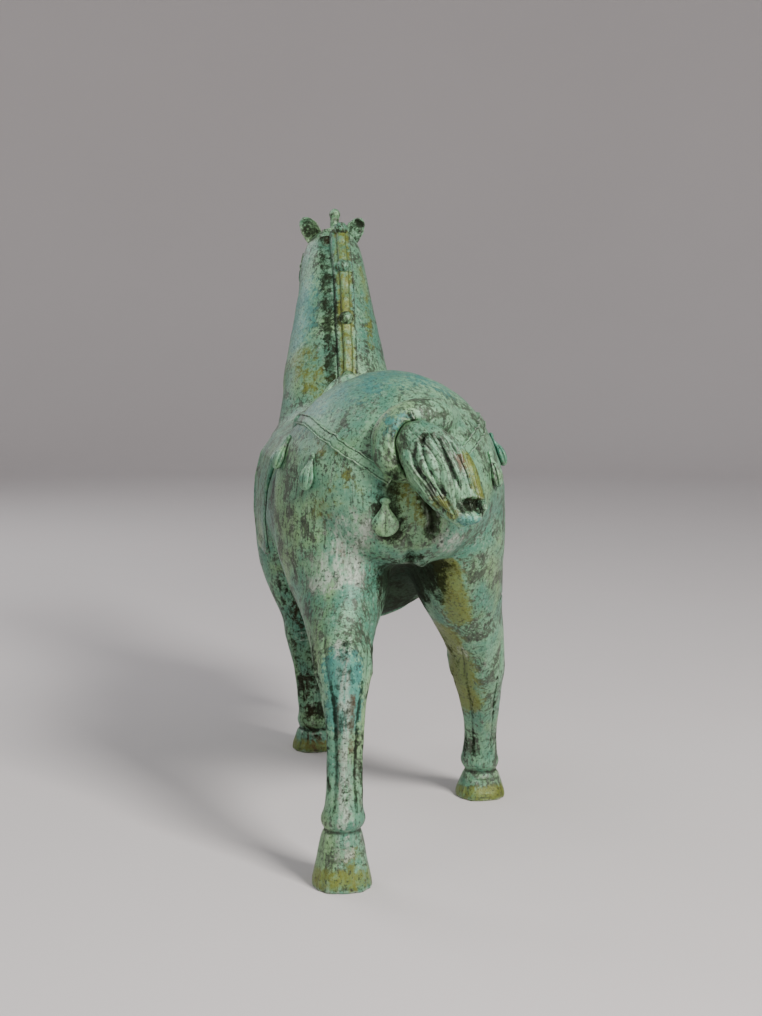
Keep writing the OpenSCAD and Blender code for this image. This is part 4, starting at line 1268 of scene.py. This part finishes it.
def patina(name, pale=0.5, brown=0.5, ochre=0.0, streaks=1.0, bump=1.0):
    """Old verdigris on bronze, mineral-stained in places: pale where it's rubbed and where highlights are
    painted, dark in the grooves and where shade is painted.
    """
    n = Nodes(name)
    clouds = n.noise(42, 4, 0.6, twist=0.4)
    patches = n.noise(14, 6, 0.66, twist=0.7)
    grain = n.noise(2.6, 6, 0.75, twist=0.3)
    speck = n.noise(1.5, 4, 0.65)
    brushed = n.noise(3.2, 4, 0.7, stretch=(1.3, 1.3, 0.10), twist=0.25)
    cloudy = n.plus(n.times(clouds, 0.6), n.times(patches, 0.4))

    colour = n.mix(n.span(cloudy, 0.50 - 0.2 * pale, 0.72 - 0.2 * pale), TEAL, VERDIGRIS)
    colour = n.mix(n.span(n.noise(55, 3, 0.6, twist=0.8), 0.48, 0.66, 0, 0.55), colour, OLIVE)
    # Brush marks run down and leave chalky streaks
    streak = n.times(n.span(brushed, 0.50, 0.68), n.span(patches, 0.38, 0.62, 0.15, 1))
    colour = n.mix(n.times(streak, 0.6 * streaks), colour, CHALK)
    scratches = n.noise(1.3, 3, 0.6, stretch=(1.3, 1.3, 0.12), twist=0.3)
    colour = n.mix(n.span(scratches, 0.56, 0.68, 0, 0.65 * streaks), colour, BROWN)
    # Brown shows through where the green is thin
    thin = n.plus(n.times(patches, 0.42), n.times(grain, 0.33))
    thin = n.plus(thin, n.times(brushed, 0.25))
    colour = n.mix(n.span(thin, 0.525 - 0.09 * brown, 0.590 - 0.09 * brown, 0, 0.88), colour, BROWN)
    colour = n.mix(n.span(speck, 0.42, 0.32, 0, 0.30), colour, CHALK)
    ragged = n.span(n.plus(n.times(patches, 0.5), n.times(grain, 0.5)), 0.36, 0.64)

    def worn(mask_name, low=0.25, high=0.75):
        """A mask whose edge is broken up by the patina's own grain. The dark mask is painted shade as well
        as grime, and the pale mask is painted highlights.
        """
        value = n.plus(n.stain_and_light(mask_name), n.times(n.maths("SUBTRACT", ragged, 0.5), 0.9))
        return n.times(n.span(value, low, high), n.span(n.stain_and_light(mask_name), 0.0, 0.12))

    colour = n.mix(n.times(worn("teal"), 0.75), colour, BRIGHT_TEAL)
    if ochre:
        colour = n.mix(n.span(patches, 0.45, 0.62, 0, ochre), colour, OCHRE)
    colour = n.mix(n.times(worn("ochre", 0.3, 1.1), 0.8), colour, OCHRE)
    colour = n.mix(n.times(worn("rust", 0.3, 0.9), 0.85), colour, RUST)
    # The pale mask: painted highlights, brushed
    colour = n.mix(n.times(worn("pale", 0.3, 0.95), n.span(brushed, 0.40, 0.58, 0.1, 0.75)), colour, CHALK)
    # The dark mask: painted shade, and grime in the cracks
    colour = n.mix(n.times(worn("dark", 0.25, 0.95), 0.88), colour, DEEP_BROWN)
    deep = n.times(n.span(n.stain_and_light("deep"), 0.12, 1.1), n.span(ragged, 0.0, 0.7, 0.55, 1))
    colour = n.mix(n.times(deep, 0.92), colour, DEEP_BROWN)
    proud = n.times(n.span(n.stain_and_light("proud"), 0.15, 1.2), n.span(brushed, 0.40, 0.60, 0.15, 1))
    colour = n.mix(n.times(proud, 0.55), colour, CHALK)
    # Fine soot lies over everything
    colour = n.mix(n.span(speck, 0.54, 0.64, 0, 0.8), colour, SOOT)
    n.link(colour, n.shader.inputs["Base Color"])

    rough = n.plus(n.times(patches, 0.35), n.times(deep, 0.25))
    n.link(n.plus(rough, n.plus(n.times(worn("dark"), 0.3), 0.24)), n.shader.inputs["Roughness"])
    n.shader.inputs["Metallic"].default_value = 0.15
    # Where shade is painted, and in grime, the surface shines less
    shade_and_grime = n.times(worn("dark", 0.25, 0.95), 0.45)
    n.link(n.maths("SUBTRACT", 0.5, shade_and_grime), n.shader.inputs["Specular IOR Level"])

    height = n.plus(n.times(grain, 0.55), n.times(brushed, 0.25 * streaks))
    height = n.plus(height, n.times(n.span(speck, 0.64, 0.76), -0.5))
    node = n.tree.nodes.new("ShaderNodeBump")
    node.inputs["Strength"].default_value = 0.55 * bump
    node.inputs["Distance"].default_value = 0.0014
    n.link(height, node.inputs["Height"])
    n.link(node.outputs["Normal"], n.shader.inputs["Normal"])
    return n.material


horse_patina = patina("horse_patina", pale=0.5, brown=0.42)
mane_patina = patina("mane_patina", pale=0.35, brown=0.6, ochre=0.15)
tail_patina = patina("tail_patina", pale=0.45, brown=0.5, streaks=0.6)
saddle_patina = patina("saddle_patina", pale=0.55, brown=0.45, streaks=0.6)
harness_patina = patina("harness_patina", pale=0.65, brown=0.35, streaks=0.3)

# ------------------------------------------------------------------ the finished pieces, one by one


def small(skin, fine=3, broad=12):
    """The skin of a small piece, with its wear found."""
    skin.find_wear(fine, broad)
    return skin


build_castings(horse_patina)
build(small(mane), "mane_bronze", mane_patina, ["mane_crest"])
build(small(knobs), "mane_knobs_bronze", mane_patina, ["mane_tufts"])
build(small(forelock), "forelock_bronze", mane_patina, ["forelock_tufts"])
for node, skin in ears.items():
    build(small(skin), node + "_bronze", horse_patina, [node])
build(small(coil), "tail_coil_bronze", tail_patina, ["tail_coil"])
build(small(tuft), "tail_tuft_bronze", tail_patina, ["tail_tuft"])
for node, skin in {**straps, **drops}.items():
    build(small(skin), node + "_bronze", harness_patina, [node])
build(small(bosses), "strap_bosses_bronze", harness_patina, ["strap_bosses"])
build(small(headstall), "headstall_bronze", harness_patina, ["headstall"])
build(small(rosettes), "bridle_rosettes_bronze", harness_patina, ["bridle_rosettes"])
build(small(bit), "bit_cheekpieces_bronze", harness_patina, ["bit_cheekpieces"])
for node, skin in saddle_parts.items():
    build(small(skin, 3, 20), node + "_bronze", saddle_patina, [node])

# ------------------------------------------------------------------ the studio

STAGE_R = 3.2           # all lengths here are in metres
STAGE_H = 2.2
CURVE_R = 0.9


def studio_floor():
    """A round floor that curves up into a low wall all the way round."""
    profile = [(0.6, 0.0), (STAGE_R - CURVE_R, 0.0)]
    profile += [(STAGE_R - CURVE_R + CURVE_R * math.sin(a), CURVE_R - CURVE_R * math.cos(a))
                for a in np.linspace(0.1, math.pi / 2, 12)]
    profile.append((STAGE_R, STAGE_H))
    mesh = bmesh.new()
    turns = 96
    rings = []
    for r, z in profile:
        rings.append([mesh.verts.new((r * math.cos(a), r * math.sin(a), z))
                      for a in np.linspace(0, 2 * math.pi, turns, endpoint=False)])
    middle = mesh.verts.new((0, 0, 0))
    for k in range(turns):
        m = (k + 1) % turns
        mesh.faces.new((middle, rings[0][k], rings[0][m]))
        for inner, outer in zip(rings, rings[1:]):
            mesh.faces.new((inner[k], outer[k], outer[m], inner[m]))
    data = bpy.data.meshes.new("floor")
    mesh.to_mesh(data)
    mesh.free()
    data.shade_smooth()
    floor = bpy.data.objects.new("floor", data)
    bpy.context.scene.collection.objects.link(floor)
    n = Nodes("paper")
    n.link(n.mix(n.noise(600, 2), (0.66, 0.62, 0.61), (0.70, 0.66, 0.65)), n.shader.inputs["Base Color"])
    n.link(n.span(n.noise(60, 3), 0.3, 0.7, 0.82, 0.95), n.shader.inputs["Roughness"])
    data.materials.append(n.material)


studio_floor()

world = bpy.data.worlds.new("studio")
world.use_nodes = True
world.node_tree.nodes["Background"].inputs["Color"].default_value = (0.92, 0.94, 1.0, 1)
world.node_tree.nodes["Background"].inputs["Strength"].default_value = 0.36
bpy.context.scene.world = world


def area_light(name, place, target, size, power, colour):
    data = bpy.data.lights.new(name, "AREA")
    data.size = size
    data.energy = power
    data.color = colour
    light = bpy.data.objects.new(name, data)
    light.location = place
    light.rotation_euler = (Vector(target) - Vector(place)).to_track_quat("-Z", "Y").to_euler()
    bpy.context.scene.collection.objects.link(light)


CHEST = (0, 0, 0.18)
area_light("key", (-0.55, 1.15, 1.05), CHEST, 0.4, 32, (1, 0.98, 0.95))
area_light("fill", (1.3, 1.0, 0.7), CHEST, 1.0, 4, (0.97, 0.98, 1))
area_light("rim", (0.9, -1.2, 1.1), CHEST, 0.9, 9, (0.97, 0.98, 1))

# The camera stands behind the horse, a little to the left of its tail
CAMERA_PLACE = (0.1472, 0.9079, 0.267)
LENS = 54.1
yaw, pitch = math.radians(9.5), math.radians(6.09)

camera_data = bpy.data.cameras.new("camera")
camera_data.sensor_width = 36
camera_data.lens = LENS
camera = bpy.data.objects.new("camera", camera_data)
camera.location = CAMERA_PLACE
ahead = Vector((-math.sin(yaw) * math.cos(pitch), -math.cos(yaw) * math.cos(pitch), -math.sin(pitch)))
camera.rotation_euler = ahead.to_track_quat("-Z", "Y").to_euler()
bpy.context.scene.collection.objects.link(camera)
bpy.context.scene.camera = camera
